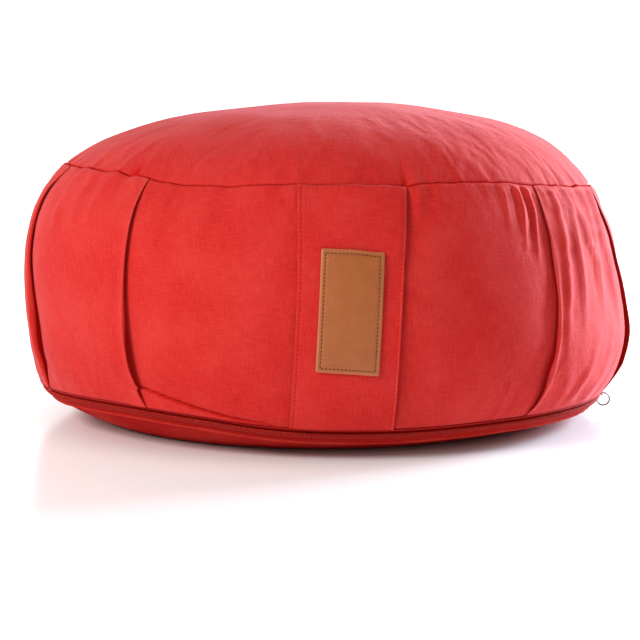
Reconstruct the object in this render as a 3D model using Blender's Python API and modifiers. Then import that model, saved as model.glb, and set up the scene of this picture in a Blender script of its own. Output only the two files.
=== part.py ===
"""A zafu, the round meditation cushion: a pleated side band between a crowned top panel and a bottom panel.

The pieces are the filled cushion, whose outside is the pleated band, the top and bottom panels that are sewn to
it, the two tapes and the coil of the zip in the lower seam, its slider and pull ring, the strip sewn over the
front of the band, and the leather label on that strip.

Metres, +Z up. The origin is the middle of the flat patch that the cushion rests on, and the front, with the
strip and the label, faces -Y. An azimuth is in degrees round the cushion, 0 at the front and positive towards +X.
A share runs from 0 at the band's lower edge, by the zip, to 1 at its upper edge, by the top seam. The zip's own
frame has `along`, up the tapes from the zip's centre line, and `out`, away from the filling.
"""

import math
from typing import NamedTuple

import bmesh
import bpy
from mathutils import Matrix, Vector

MM = 0.001
CUSHION = "zafu_meditation_cushion"

# The filled form. Each seam's circle sits a little to one side, and the crown is a dome with a steeper rim.
CROWN_HEIGHT, CROWN_SHIFT = 0.2167, 8.0 * MM
DOME_SHARE_LEFT, DOME_SHARE_RIGHT = 0.70, 0.56  # how much of the crown's drop is the dome's, at -X and +X
RIM_POWER = 8
TOP_RIM_RADIUS, TOP_RIM_SHIFT = 0.1812, 1.8 * MM  # a shift is towards +X
ZIP_RADIUS, ZIP_SHIFT = 0.1935, -2.2 * MM
CONTACT_RADIUS, CONTACT_SHIFT, CONTACT_AZIMUTH = 0.143, 8.0 * MM, -32.0
LIFT_POWER_LEFT, LIFT_POWER_RIGHT = 1.55, 1.25  # a higher power is a gentler curve away from the floor

# The cloth, and the gap that parts two pieces.
GAP = 0.3 * MM
BED_GAP = 0.5 * MM  # under the panels, whose own facets bend
PANEL_CLOTH = 1.5 * MM
STRIP_CLOTH = 1.8 * MM  # the strip is a doubled cloth
LABEL_LEATHER = 1.8 * MM

# The zip, in its own frame, and the channel that it lies in, which closes to a plain seam past the zip's ends.
ZIP_START, ZIP_END, ZIP_STEP = -116.0, 97.0, 3.0
ZIP_TILT = math.radians(48)  # of the tapes, above the floor
CHANNEL_HALF_WIDTH, CHANNEL_DEPTH = 6.0 * MM, 2.2 * MM
CHANNEL_FLOOR = 0.85  # the share of its width that its floor has
CHANNEL_RAMP = 7.0
PLAIN_SEAM_HALF_WIDTH = 0.5 * MM
TAPE_INNER, TAPE_OUTER, TAPE_THICK = 0.35 * MM, 4.3 * MM, 0.9 * MM
COIL_HALF_WIDTH, COIL_CROWN, COIL_SHOULDER, COIL_THICK = 2.3 * MM, 1.3 * MM, 1.3 * MM, 2.4 * MM
SLIDER_AZIMUTH = 84.0
SLIDER_LENGTH, SLIDER_WIDTH, SLIDER_NOSE, SLIDER_THICK = 9.5 * MM, 7.0 * MM, 4.8 * MM, 1.6 * MM
SLIDER_ROUNDING = 0.4 * MM
BRIDGE_SPAN, BRIDGE_RISE, BRIDGE_WIRE, BRIDGE_STEPS = 6.4 * MM, 2.6 * MM, 0.6 * MM, 12
RING_RADIUS, RING_WIRE, RING_DROOP = 4.4 * MM, 0.55 * MM, 1.6 * MM
RING_STEPS, WIRE_SIDES = 28, 8

# The strip and the label on the front of the band.
STRIP_WIDTH = 0.062
STRIP_LEAN_LOW, STRIP_LEAN_HIGH = -0.9, 1.2  # azimuth of its middle at the band's lower and upper edge
STRIP_ENDS = (0.012, 0.988)  # the shares that it runs between
STRIP_COLUMNS = 8
LABEL_WIDTH, LABEL_HEIGHT = 0.037, 0.072
LABEL_MIDDLE = 0.092  # above the floor
LABEL_TURN = math.radians(3.2)
LABEL_COLUMNS, LABEL_ROWS = 4, 8

# How the pleats' cloth stands: the share of its lift by which the cloth in front of a fold sinks, how far the dip
# and the rise reach along the band, and how far the cloth in front runs on under the flap.
PLEAT_DIP = 0.5
DIP_REACH, RISE_REACH = 10 * MM, 28 * MM
UNDERLAP = 9 * MM

# How many points the rings have. Those of the crown and the base have half as many as the band's.
FRONT_POINTS, PANEL_POINTS = 28, 14
CROWDING = 0.6  # of the points towards the fold edges


class BandSection(NamedTuple):
    """The band at one share of its height: its mean radius, and how far that grows at +X and shrinks at -X."""

    share: float
    radius: float
    lean: float


BAND_SECTIONS = (
    BandSection(0.00, 0.1975, 0.0000),
    BandSection(0.07, 0.2014, 0.0008),
    BandSection(0.16, 0.2053, 0.0011),
    BandSection(0.28, 0.2076, 0.0014),
    BandSection(0.40, 0.2076, -0.0001),
    BandSection(0.52, 0.2066, -0.0016),
    BandSection(0.65, 0.2038, -0.0030),
    BandSection(0.78, 0.1990, -0.0032),
    BandSection(0.88, 0.1927, -0.0026),
    BandSection(0.95, 0.1872, -0.0005),
    BandSection(1.00, 0.1825, 0.0018),
)


class SeamPoint(NamedTuple):
    """How high a seam runs above the floor at one azimuth."""

    azimuth: float
    height: float


TOP_SEAM = (
    SeamPoint(-155, 0.1700),
    SeamPoint(-115, 0.1735),
    SeamPoint(-76, 0.1745),
    SeamPoint(-46, 0.1705),
    SeamPoint(-32, 0.1648),
    SeamPoint(-8, 0.1663),
    SeamPoint(11, 0.1652),
    SeamPoint(25, 0.1668),
    SeamPoint(50, 0.1625),
    SeamPoint(80, 0.1597),
    SeamPoint(120, 0.1610),
    SeamPoint(165, 0.1660),
)
ZIP_SEAM = (
    SeamPoint(-150, 0.0205),
    SeamPoint(-110, 0.0215),
    SeamPoint(-75, 0.0225),
    SeamPoint(-47, 0.0250),
    SeamPoint(-28, 0.0222),
    SeamPoint(-12, 0.0172),
    SeamPoint(8, 0.0155),
    SeamPoint(30, 0.0165),
    SeamPoint(60, 0.0160),
    SeamPoint(95, 0.0155),
    SeamPoint(140, 0.0190),
    SeamPoint(180, 0.0200),
)


class Pleat(NamedTuple):
    """A knife pleat: the azimuth of its fold edge, how full it is, and by how many degrees its upper end leans
    towards the front. Every fold edge faces the front."""

    azimuth: float
    fullness: float
    lean: float


PLEATS = (
    Pleat(-146.0, 0.80, 0.5),
    Pleat(-110.0, 0.90, -0.5),
    Pleat(-74.0, 1.05, -2.5),
    Pleat(-40.4, 1.15, -0.8),
    Pleat(40.0, 0.85, -1.6),
    Pleat(76.0, 1.00, 2.5),
    Pleat(111.0, 0.90, 1.0),
    Pleat(147.0, 0.80, 0.0),
    Pleat(178.0, 0.75, 0.5),
)


class PleatSection(NamedTuple):
    """Every pleat at one share of the band's height: how far its fold edge sweeps towards the front, in degrees,
    how far the flap stands over the cloth in front of it, and how wide the slot under the flap is."""

    share: float
    sweep: float
    lift: float
    slot: float


PLEAT_SECTIONS = (
    PleatSection(0.00, 2.8, 1.2 * MM, 0.5 * MM),
    PleatSection(0.06, 1.5, 4.0 * MM, 1.3 * MM),
    PleatSection(0.15, 0.6, 6.4 * MM, 2.6 * MM),
    PleatSection(0.30, 0.0, 6.8 * MM, 2.6 * MM),
    PleatSection(0.55, 0.0, 5.4 * MM, 1.6 * MM),
    PleatSection(0.82, 0.0, 4.4 * MM, 1.2 * MM),
    PleatSection(1.00, 0.0, 1.0 * MM, 0.5 * MM),
)

RING_SHARES = (0.0, 0.03, 0.08, 0.14, 0.21, 0.29, 0.38, 0.47, 0.56, 0.65, 0.74, 0.82, 0.89, 0.945, 0.98, 1.0)
SLOT_SHARES = (0.03, 0.98)  # the slots under the flaps run between these rings
CROWN_SHARES = (0.0, 0.03, 0.09, 0.17, 0.28, 0.44, 0.64, 0.83)
BASE_SHARES = (1.0, 0.60, 0.30, 0.10, 0.0)


class GatherZone(NamedTuple):
    """Soft ridges that run down the band from the top seam: how high they are and how far down they last."""

    azimuth: float
    height: float
    reach: float


GATHERS_A_PANEL = 3
GATHER_START = 0.08  # the share under the top seam over which the gathers rise
GATHER_ZONES = (
    GatherZone(-150, 0.6 * MM, 0.14),
    GatherZone(-60, 0.4 * MM, 0.10),
    GatherZone(-20, 0.5 * MM, 0.10),
    GatherZone(0, 0.1 * MM, 0.08),
    GatherZone(20, 0.6 * MM, 0.14),
    GatherZone(50, 2.0 * MM, 0.80),
    GatherZone(75, 1.6 * MM, 0.60),
    GatherZone(130, 0.7 * MM, 0.18),
)


class Finish(NamedTuple):
    """The colour, roughness and metallic value of a material."""

    name: str
    colour: tuple
    roughness: float
    metallic: float


COTTON = Finish("red_cotton", (0.62, 0.035, 0.030), 0.85, 0.0)
TAPE = Finish("zip_tape", (0.42, 0.035, 0.020), 0.80, 0.0)
COIL = Finish("zip_coil", (0.50, 0.080, 0.030), 0.45, 0.0)
STEEL = Finish("pull_steel", (0.45, 0.44, 0.42), 0.30, 1.0)
LEATHER = Finish("tan_leather", (0.42, 0.19, 0.075), 0.50, 0.0)


def curve_through(rows, at, field, period=None):
    """The value at `at` of a smooth curve through the rows, which repeats if it has a period.

    Each row's first field is its place, and `field` names the one to read. The slope at each row is that of the
    line between its two neighbours.
    """
    places = [row[0] for row in rows]
    values = [getattr(row, field) for row in rows]
    if period:
        at = (at - places[0]) % period + places[0]
        places = [places[-1] - period, *places, places[0] + period, places[1] + period]
        values = [values[-1], *values, values[0], values[1]]
    else:
        at = min(max(at, places[0]), places[-1])
    last = len(places) - 1
    first = 1 if period else 0
    i = next(k for k in range(first, last) if at <= places[k + 1])

    def slope(k):
        low, high = max(k - 1, 0), min(k + 1, last)
        return (values[high] - values[low]) / (places[high] - places[low])

    width = places[i + 1] - places[i]
    t = (at - places[i]) / width
    return (
        values[i] * (1 + 2 * t) * (1 - t) ** 2
        + slope(i) * width * t * (1 - t) ** 2
        + values[i + 1] * t * t * (3 - 2 * t)
        - slope(i + 1) * width * t * t * (1 - t)
    )


def wrapped(azimuth):
    """The azimuth brought between -180 and 180."""
    return (azimuth + 180) % 360 - 180


def at_azimuth(azimuth, radius, height):
    """The point at an azimuth, a radius and a height."""
    angle = math.radians(azimuth)
    return Vector((radius * math.sin(angle), -radius * math.cos(angle), height))


def top_seam_height(azimuth):
    """Height of the top seam."""
    return curve_through(TOP_SEAM, azimuth, "height", 360)


def in_zip_frame(azimuth, along, out):
    """(radius, height) of a place in the zip's frame."""
    radius = ZIP_RADIUS + ZIP_SHIFT * math.sin(math.radians(azimuth))
    radius += along * math.cos(ZIP_TILT) + out * math.sin(ZIP_TILT)
    height = curve_through(ZIP_SEAM, azimuth, "height", 360)
    return radius, height + along * math.sin(ZIP_TILT) - out * math.cos(ZIP_TILT)


def channel_half_width(azimuth):
    """Half the width of the zip's channel."""
    past = max(ZIP_START - azimuth, azimuth - ZIP_END, 0.0)
    opened = max(0.0, 1.0 - past / CHANNEL_RAMP)
    opened = opened * opened * (3 - 2 * opened)
    return PLAIN_SEAM_HALF_WIDTH + opened * (CHANNEL_HALF_WIDTH - PLAIN_SEAM_HALF_WIDTH)


def fold_azimuth(pleat, share):
    """Azimuth of a pleat's fold edge at a share, swept towards the front."""
    sweep = curve_through(PLEAT_SECTIONS, share, "sweep") + pleat.lean * share**3
    return pleat.azimuth - math.copysign(sweep, pleat.azimuth)


def pleat_rise(azimuth, share):
    """How far all the pleats together move the band's cloth out at one place."""
    lift = curve_through(PLEAT_SECTIONS, share, "lift")
    total = 0.0
    for pleat in PLEATS:
        past_fold = wrapped(azimuth - fold_azimuth(pleat, share)) * math.copysign(1, pleat.azimuth)
        away = math.radians(past_fold) * TOP_RIM_RADIUS
        full = lift * pleat.fullness
        if away < 0:
            total -= PLEAT_DIP * full * math.exp(away / DIP_REACH)
        else:
            total += (1 - PLEAT_DIP) * full * math.exp(-away / RISE_REACH)
    return total


def gather_rise(azimuth, share, place):
    """Height of the gathers, where place runs from 0 to 1 across a panel."""
    height = curve_through(GATHER_ZONES, azimuth, "height", 360)
    reach = curve_through(GATHER_ZONES, azimuth, "reach", 360)
    below = 1 - share
    fade = math.exp(-below / reach) * min(1.0, below / GATHER_START)
    ridges = math.cos(2 * math.pi * GATHERS_A_PANEL * place + 0.7 * math.sin(9 * place))
    return height * fade * ridges * math.sin(math.pi * place)


def band_profile(azimuth, share, place):
    """(radius, height) of the band's outer face."""
    lower_radius, lower_height = in_zip_frame(azimuth, channel_half_width(azimuth), 0)
    radius = curve_through(BAND_SECTIONS, share, "radius")
    radius += curve_through(BAND_SECTIONS, share, "lean") * math.sin(math.radians(azimuth))
    radius += pleat_rise(azimuth, share) + gather_rise(azimuth, share, place)
    closing = lower_radius - BAND_SECTIONS[0].radius
    radius += closing * max(0.0, 1 - share / 0.12)
    return radius, lower_height + share * (top_seam_height(azimuth) - lower_height)


def band_point(azimuth, share, place, out=0.0):
    """A point `out` above the band's outer face."""
    radius, height = band_profile(azimuth, share, place)
    if out:
        low = band_profile(azimuth, max(share - 0.01, 0.0), place)
        high = band_profile(azimuth, min(share + 0.01, 1.0), place)
        rise, run = high[1] - low[1], high[0] - low[0]
        length = math.hypot(rise, run)
        radius += out * rise / length
        height -= out * run / length
    return at_azimuth(azimuth, radius, height)


def at_side(azimuth, left, right):
    """A value between those at -X and at +X."""
    return left + (right - left) * (1 + math.sin(math.radians(azimuth))) / 2


def crown_point(azimuth, share, depth=0.0):
    """A point on the top panel, or `depth` under it: share 0 is at its rim and 1 in its middle."""
    rim = TOP_RIM_RADIUS + TOP_RIM_SHIFT * math.sin(math.radians(azimuth))
    drop = CROWN_HEIGHT - top_seam_height(azimuth)
    dome = at_side(azimuth, DOME_SHARE_LEFT, DOME_SHARE_RIGHT)
    t = 1 - share
    fall = dome * t**2 + (1 - dome) * t**RIM_POWER
    slope = drop / rim * (2 * dome * t + RIM_POWER * (1 - dome) * t ** (RIM_POWER - 1))
    lean = math.hypot(1, slope)
    point = at_azimuth(azimuth, rim * t - depth * slope / lean, CROWN_HEIGHT - drop * fall - depth / lean)
    return point + Vector((CROWN_SHIFT * (1 - t * t), 0, 0))


def base_point(azimuth, share, depth=0.0):
    """A point on the bottom panel, or `depth` inside it: share 0 is at its rim and 1 where it meets the floor."""
    rim, rim_height = in_zip_frame(azimuth, -channel_half_width(azimuth), 0)
    contact = CONTACT_RADIUS + CONTACT_SHIFT * math.cos(math.radians(azimuth - CONTACT_AZIMUTH))
    power = at_side(azimuth, LIFT_POWER_LEFT, LIFT_POWER_RIGHT)
    t = 1 - share
    slope = power * rim_height / (rim - contact) * t ** (power - 1)
    lean = math.hypot(1, slope)
    radius = contact + (rim - contact) * t - depth * slope / lean
    return at_azimuth(azimuth, radius, rim_height * t**power + depth / lean)


def zip_point(azimuth, along, out):
    """A point in the zip's frame."""
    return at_azimuth(azimuth, *in_zip_frame(azimuth, along, out))


class Place(NamedTuple):
    """Where a ring's point lies: its azimuth, its place from 0 to 1 across its panel, and whether a fold follows."""

    azimuth: float
    across: float
    fold_next: bool


def ring_places(share):
    """The places of a full ring's points, crowded towards the fold edges."""
    folds = [fold_azimuth(pleat, share) for pleat in PLEATS]
    places = []
    for start, end in zip(folds, [*folds[1:], folds[0] + 360]):
        count = FRONT_POINTS if start < 0 < end else PANEL_POINTS
        for k in range(count):
            even = (k + 0.5) / count
            across = even - CROWDING * math.sin(2 * math.pi * even) / (2 * math.pi)
            places.append(Place(wrapped(start + (end - start) * across), across, k == count - 1))
    return places


class Ring(NamedTuple):
    """A ring's points, the slot's points after each of them, and which of its slots open towards -azimuth."""

    points: list
    slots: list
    rightward: list


def slot_points(before, after, share, rightward):
    """The points round the slot under a flap, between the ring's points on either side of a fold edge."""
    slot = curve_through(PLEAT_SECTIONS, share, "slot")
    front, flap = (before, after) if rightward else (after, before)
    out = Vector((front.x, front.y, 0)).normalized()
    under_flap = Vector((0, 0, 1)).cross(out) * (1 if rightward else -1)
    lip = front + under_flap * (flap - front).dot(under_flap) * 0.45 + out * slot
    deep = front + under_flap * UNDERLAP - out * GAP
    points = [deep, deep + out * slot * 0.7, lip]
    return points if rightward else points[::-1]


def band_ring(share):
    """One ring of the band's outer face, with the slots under its flaps."""
    places = ring_places(share)
    points = [band_point(place.azimuth, share, place.across) for place in places]
    slots, rightward = [], []
    for k, place in enumerate(places):
        right = place.azimuth > 0
        slotted = place.fold_next and SLOT_SHARES[0] < share < SLOT_SHARES[1]
        slots.append(slot_points(points[k], points[(k + 1) % len(points)], share, right) if slotted else [])
        rightward.append(right)
    return Ring(points, slots, rightward)


def plain_ring(point_at, share, skip=1):
    """A ring without slots, at every skip-th azimuth of the band's ring of that share."""
    points = [point_at(place.azimuth) for place in ring_places(share)[::skip]]
    return Ring(points, [[]] * len(points), [True] * len(points))


def crown_ring(share, depth=0.0):
    """A ring of the top panel, or of what lies `depth` under it."""
    return plain_ring(lambda azimuth: crown_point(azimuth, share, depth), 1.0, 2)


def base_ring(share, depth=0.0):
    """A ring of the bottom panel, or of what lies `depth` inside it."""
    return plain_ring(lambda azimuth: base_point(azimuth, share, depth), 0.0, 2)


def add_fan(bm, apex, corners):
    """Triangles from one corner of a polygon to all the others."""
    turned = [*corners[corners.index(apex) + 1 :], *corners[: corners.index(apex)]]
    for first, second in zip(turned, turned[1:]):
        bm.faces.new((apex, first, second))


def join_halved(bm, fine, coarse, fine_below):
    """Joins a ring to one with half as many points, each of which lies by an even point of the first."""
    for k, left in enumerate(coarse):
        right = coarse[(k + 1) % len(coarse)]
        start, middle, end = fine[2 * k], fine[2 * k + 1], fine[(2 * k + 2) % len(fine)]
        for corners in ((start, middle, left), (middle, right, left), (middle, end, right)):
            bm.faces.new(corners if fine_below else corners[::-1])


def join_rings(bm, low, high, rightward):
    """Joins two rings of (points, slots). A slot that only one of them has ends in a fan."""
    for k in range(len(low[0])):
        after = (k + 1) % len(low[0])
        under = [low[0][k], *low[1][k], low[0][after]]
        over = [high[0][k], *high[1][k], high[0][after]]
        if len(under) == len(over):
            for i in range(len(under) - 1):
                bm.faces.new((under[i], under[i + 1], over[i + 1], over[i]))
        else:
            plain = under if len(under) < len(over) else over
            add_fan(bm, plain[0] if rightward[k] else plain[1], [*under, *reversed(over)])


def skin(bm, rings):
    """Joins each ring to the next, from the lowest up, and returns the vertices of the first and the last."""
    rows = []
    for ring in rings:
        points = [bm.verts.new(point) for point in ring.points]
        rows.append((points, [[bm.verts.new(point) for point in slot] for slot in ring.slots]))
    for ring, low, high in zip(rings, rows, rows[1:]):
        if len(high[0]) * 2 == len(low[0]):
            join_halved(bm, low[0], high[0], True)
        elif len(low[0]) * 2 == len(high[0]):
            join_halved(bm, high[0], low[0], False)
        else:
            join_rings(bm, low, high, ring.rightward)
    return rows[0][0], rows[-1][0]


def close_crown(bm, rim, depth=0.0):
    """Closes the last ring of a crown at its middle."""
    top = bm.verts.new((CROWN_SHIFT, 0, CROWN_HEIGHT - depth))
    for k, vertex in enumerate(rim):
        bm.faces.new((vertex, rim[(k + 1) % len(rim)], top))


def loft(bm, sections):
    """A closed solid through a row of sections, each a list of the same number of points."""
    rows = [[bm.verts.new(point) for point in section] for section in sections]
    for row, following in zip(rows, rows[1:]):
        for k in range(len(row)):
            after = (k + 1) % len(row)
            bm.faces.new((row[k], row[after], following[after], following[k]))
    bm.faces.new(rows[0][::-1])
    bm.faces.new(rows[-1])


def grid(bm, rows):
    """An open sheet through rows of points."""
    rows = [[bm.verts.new(point) for point in row] for row in rows]
    for low, high in zip(rows, rows[1:]):
        for k in range(len(low) - 1):
            bm.faces.new((low[k], low[k + 1], high[k + 1], high[k]))


def material_of(finish):
    """The material of a finish, made once."""
    material = bpy.data.materials.get(finish.name) or bpy.data.materials.new(finish.name)
    material.use_nodes = True
    shader = material.node_tree.nodes["Principled BSDF"]
    shader.inputs["Base Color"].default_value = (*finish.colour, 1)
    shader.inputs["Roughness"].default_value = finish.roughness
    shader.inputs["Metallic"].default_value = finish.metallic
    material.diffuse_color = (*finish.colour, 1)
    return material


def dress(made, name, finish):
    """Names an object and gives it its finish, shaded smooth but for its sharp edges."""
    made.name = made.data.name = name
    made.data.materials.clear()
    made.data.materials.append(material_of(finish))
    made.data.shade_smooth()
    made.data.set_sharp_from_angle(angle=math.radians(40))


def add_object(bm, name, finish, collection):
    """Turns a bmesh into an object of that name."""
    mesh = bpy.data.meshes.new(name)
    bm.to_mesh(mesh)
    bm.free()
    made = bpy.data.objects.new(name, mesh)
    collection.objects.link(made)
    dress(made, name, finish)
    return made


def thicken(made, thickness, outward):
    """Gives an open sheet its thickness, outward or inward of its face."""
    solidify = made.modifiers.new("thickness", "SOLIDIFY")
    solidify.thickness = thickness
    solidify.offset = 1 if outward else -1
    solidify.use_even_offset = True


def add_cushion(collection):
    """The filled cushion: the bed of the bottom panel, the zip's channel, the pleated band and the crown."""
    bed = PANEL_CLOTH + BED_GAP
    bm = bmesh.new()

    def channel_ring(side, skip):
        def point_at(azimuth):
            return zip_point(azimuth, side * CHANNEL_FLOOR * channel_half_width(azimuth), -CHANNEL_DEPTH)

        return plain_ring(point_at, 0.0, skip)

    rings = [base_ring(share, bed) for share in BASE_SHARES]
    rings += [channel_ring(-1, 2), channel_ring(1, 1)]
    rings += [band_ring(share) for share in RING_SHARES]
    rings += [crown_ring(share, bed) for share in CROWN_SHARES]
    first, last = skin(bm, rings)
    bm.faces.new(first[::-1])
    close_crown(bm, last, bed)
    add_object(bm, "cushion_body", COTTON, collection)


def add_top_panel(collection):
    """The round top panel, a sheet crowned by the filling."""
    bm = bmesh.new()
    _, last = skin(bm, [crown_ring(share) for share in CROWN_SHARES])
    close_crown(bm, last)
    thicken(add_object(bm, "top_panel", COTTON, collection), PANEL_CLOTH, outward=False)


def add_bottom_panel(collection):
    """The round bottom panel, a sheet that lies flat on the floor and curves up to the zip."""
    bm = bmesh.new()
    first, _ = skin(bm, [base_ring(share) for share in BASE_SHARES])
    bm.faces.new(first[::-1])
    thicken(add_object(bm, "bottom_panel", COTTON, collection), PANEL_CLOTH, outward=False)


def zip_azimuths():
    """The azimuths of the sections along the zip."""
    count = round((ZIP_END - ZIP_START) / ZIP_STEP)
    return [ZIP_START + (ZIP_END - ZIP_START) * k / count for k in range(count + 1)]


def add_zip_run(name, outline, finish, collection):
    """A piece of one cross-section all along the zip, given as (along, out) corners."""
    bm = bmesh.new()
    loft(bm, [[zip_point(azimuth, *corner) for corner in outline] for azimuth in zip_azimuths()])
    bmesh.ops.recalc_face_normals(bm, faces=bm.faces)
    add_object(bm, name, finish, collection)


def add_zip(collection):
    """The two tapes, side by side in the channel, and the coil over the line where they meet.

    Returns how far out the coil's top lies in the zip's frame.
    """
    tape_low = GAP - CHANNEL_DEPTH
    tape_high = tape_low + TAPE_THICK
    for name, side in (("zip_tape_upper", 1), ("zip_tape_lower", -1)):
        inner, outer = side * TAPE_INNER, side * TAPE_OUTER
        outline = [(inner, tape_low), (outer, tape_low), (outer, tape_high), (inner, tape_high)]
        add_zip_run(name, outline, TAPE, collection)
    low = tape_high + GAP
    high = low + COIL_THICK
    outline = [
        (-COIL_HALF_WIDTH, low),
        (-COIL_HALF_WIDTH, low + COIL_SHOULDER),
        (-COIL_CROWN, high),
        (COIL_CROWN, high),
        (COIL_HALF_WIDTH, low + COIL_SHOULDER),
        (COIL_HALF_WIDTH, low),
    ]
    add_zip_run("zip_coil", outline, COIL, collection)
    return high


def slider_frame():
    """The slider's own frame: x along the zip, y up the tapes, z out, with its origin on the zip's centre line."""
    origin = zip_point(SLIDER_AZIMUTH, 0, 0)
    up = (zip_point(SLIDER_AZIMUTH, MM, 0) - origin).normalized()
    out = (zip_point(SLIDER_AZIMUTH, 0, MM) - origin).normalized()
    frame = Matrix((up.cross(out), up, out)).transposed().to_4x4()
    frame.translation = origin
    return frame


def add_slider(coil_top, collection):
    """The slider's plate over the coil, and the wire bridge on it that holds the pull ring."""
    plate_low = coil_top + GAP
    plate_high = plate_low + SLIDER_THICK
    bm = bmesh.new()
    bmesh.ops.create_cube(bm, size=1)
    for vertex in bm.verts:
        width = SLIDER_NOSE if vertex.co.x > 0 else SLIDER_WIDTH
        vertex.co.x *= SLIDER_LENGTH
        vertex.co.y *= width
        vertex.co.z = plate_high if vertex.co.z > 0 else plate_low
    bmesh.ops.bevel(bm, geom=bm.edges, offset=SLIDER_ROUNDING, segments=2, affect="EDGES")
    slider = add_object(bm, "zip_slider", STEEL, collection)
    slider.matrix_world = slider_frame()

    def wire_section(step):
        angle = math.pi * step / BRIDGE_STEPS
        rise = BRIDGE_RISE * math.sin(angle) if 0 < step < BRIDGE_STEPS else -SLIDER_THICK / 2
        middle = Vector((BRIDGE_SPAN / 2 * math.cos(angle), 0, plate_high + rise))
        normal, side = Vector((math.cos(angle), 0, math.sin(angle))), Vector((0, 1, 0))
        turns = [2 * math.pi * k / WIRE_SIDES for k in range(WIRE_SIDES)]
        return [middle + BRIDGE_WIRE * (math.cos(turn) * normal + math.sin(turn) * side) for turn in turns]

    bm = bmesh.new()
    loft(bm, [wire_section(step) for step in range(BRIDGE_STEPS + 1)])
    bmesh.ops.recalc_face_normals(bm, faces=bm.faces)
    bridge = add_object(bm, "bridge_wire", STEEL, collection)
    bridge.matrix_world = slider_frame()
    return slider, bridge, plate_high


def join_bridge(slider, bridge, cutters):
    """Makes the bridge one with the slider's plate."""
    for collection in list(bridge.users_collection):
        collection.objects.unlink(bridge)
    cutters.objects.link(bridge)
    bridge.hide_render = True
    bridge.display_type = "WIRE"
    union = slider.modifiers.new("bridge", "BOOLEAN")
    union.operation = "UNION"
    union.object = bridge


def add_pull_ring(plate_high, collection):
    """The wire ring through the bridge, which hangs against the plate's lower edge."""
    bpy.ops.mesh.primitive_torus_add(
        major_segments=RING_STEPS, minor_segments=WIRE_SIDES, major_radius=RING_RADIUS, minor_radius=RING_WIRE
    )
    ring = bpy.context.object
    for linked in list(ring.users_collection):
        linked.objects.unlink(ring)
    collection.objects.link(ring)
    dress(ring, "zip_pull_ring", STEEL)
    over_plate = plate_high + GAP + RING_WIRE + RING_RADIUS
    stand = Matrix.Translation((0, -RING_DROOP, over_plate)) @ Matrix.Rotation(math.radians(90), 4, "Y")
    ring.matrix_world = slider_frame() @ stand


def strip_middle(share):
    """Azimuth of the strip's middle at a share."""
    return STRIP_LEAN_LOW + (STRIP_LEAN_HIGH - STRIP_LEAN_LOW) * share


def front_place(azimuth, share):
    """How far across the front panel an azimuth lies, from 0 to 1."""
    folds = [fold_azimuth(pleat, share) for pleat in PLEATS]
    start = max(fold for fold in folds if fold < 0)
    end = min(fold for fold in folds if fold > 0)
    return (azimuth - start) / (end - start)


def on_front(azimuth, share, out):
    """A point `out` above the band's front panel."""
    return band_point(azimuth, share, front_place(azimuth, share), out)


def add_front_strip(collection):
    """The strip sewn over the middle of the band's front, from the zip to the top seam."""
    shares = [STRIP_ENDS[0], *RING_SHARES[1:-1], STRIP_ENDS[1]]
    rows = []
    for share in shares:
        radius = band_profile(0, share, 0.5)[0]
        half = math.degrees(STRIP_WIDTH / 2 / radius)
        steps = [2 * k / STRIP_COLUMNS - 1 for k in range(STRIP_COLUMNS + 1)]
        rows.append([on_front(strip_middle(share) + half * step, share, GAP) for step in steps])
    bm = bmesh.new()
    grid(bm, rows)
    thicken(add_object(bm, "front_strip", COTTON, collection), STRIP_CLOTH, outward=True)


def add_label(collection):
    """The leather label sewn on the strip, bent to its surface and turned a little."""
    low, high = band_profile(0, 0, 0.5)[1], band_profile(0, 1, 0.5)[1]
    rows = []
    for row in range(LABEL_ROWS + 1):
        points = []
        for column in range(LABEL_COLUMNS + 1):
            across = LABEL_WIDTH * (column / LABEL_COLUMNS - 0.5)
            up = LABEL_HEIGHT * (row / LABEL_ROWS - 0.5)
            turned_across = across * math.cos(LABEL_TURN) + up * math.sin(LABEL_TURN)
            turned_up = up * math.cos(LABEL_TURN) - across * math.sin(LABEL_TURN)
            share = (LABEL_MIDDLE + turned_up - low) / (high - low)
            azimuth = math.degrees(turned_across / band_profile(0, share, 0.5)[0])
            points.append(on_front(azimuth, share, 2 * GAP + STRIP_CLOTH))
        rows.append(points)
    bm = bmesh.new()
    grid(bm, rows)
    thicken(add_object(bm, "leather_label", LEATHER, collection), LABEL_LEATHER, outward=True)


def new_collection(name):
    """An empty collection of that name in the scene."""
    collection = bpy.data.collections.new(name)
    bpy.context.scene.collection.children.link(collection)
    return collection


def main():
    """Builds every piece of the cushion."""
    for found in list(bpy.data.objects):
        bpy.data.objects.remove(found)
    pieces = new_collection(CUSHION)
    cutters = new_collection("joined_shapes")
    add_cushion(pieces)
    add_top_panel(pieces)
    add_bottom_panel(pieces)
    coil_top = add_zip(pieces)
    slider, bridge, plate_high = add_slider(coil_top, pieces)
    join_bridge(slider, bridge, cutters)
    add_pull_ring(plate_high, pieces)
    add_front_strip(pieces)
    add_label(pieces)


if __name__ == "__main__":
    main()
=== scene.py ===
"""The looks of a red zafu, the round, pleated meditation cushion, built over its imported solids.

Metres, +Z up. The origin is the middle of the flat patch that the cushion rests on, and the front, with the
strip and the label, faces -Y. An azimuth is in degrees round the cushion, 0 at the front and positive
towards +X. A share runs from 0 at the side band's lower edge, by the zip, to 1 at its upper edge, by the top
seam. The zip's own frame has `along`, up the tapes from the zip's centre line, and `out`, away from the
filling.
"""

import logging
import math
from dataclasses import dataclass, replace
from enum import Enum
from typing import Any, NamedTuple, Sequence

import bpy
import numpy as np
from mathutils import Matrix, Vector


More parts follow.
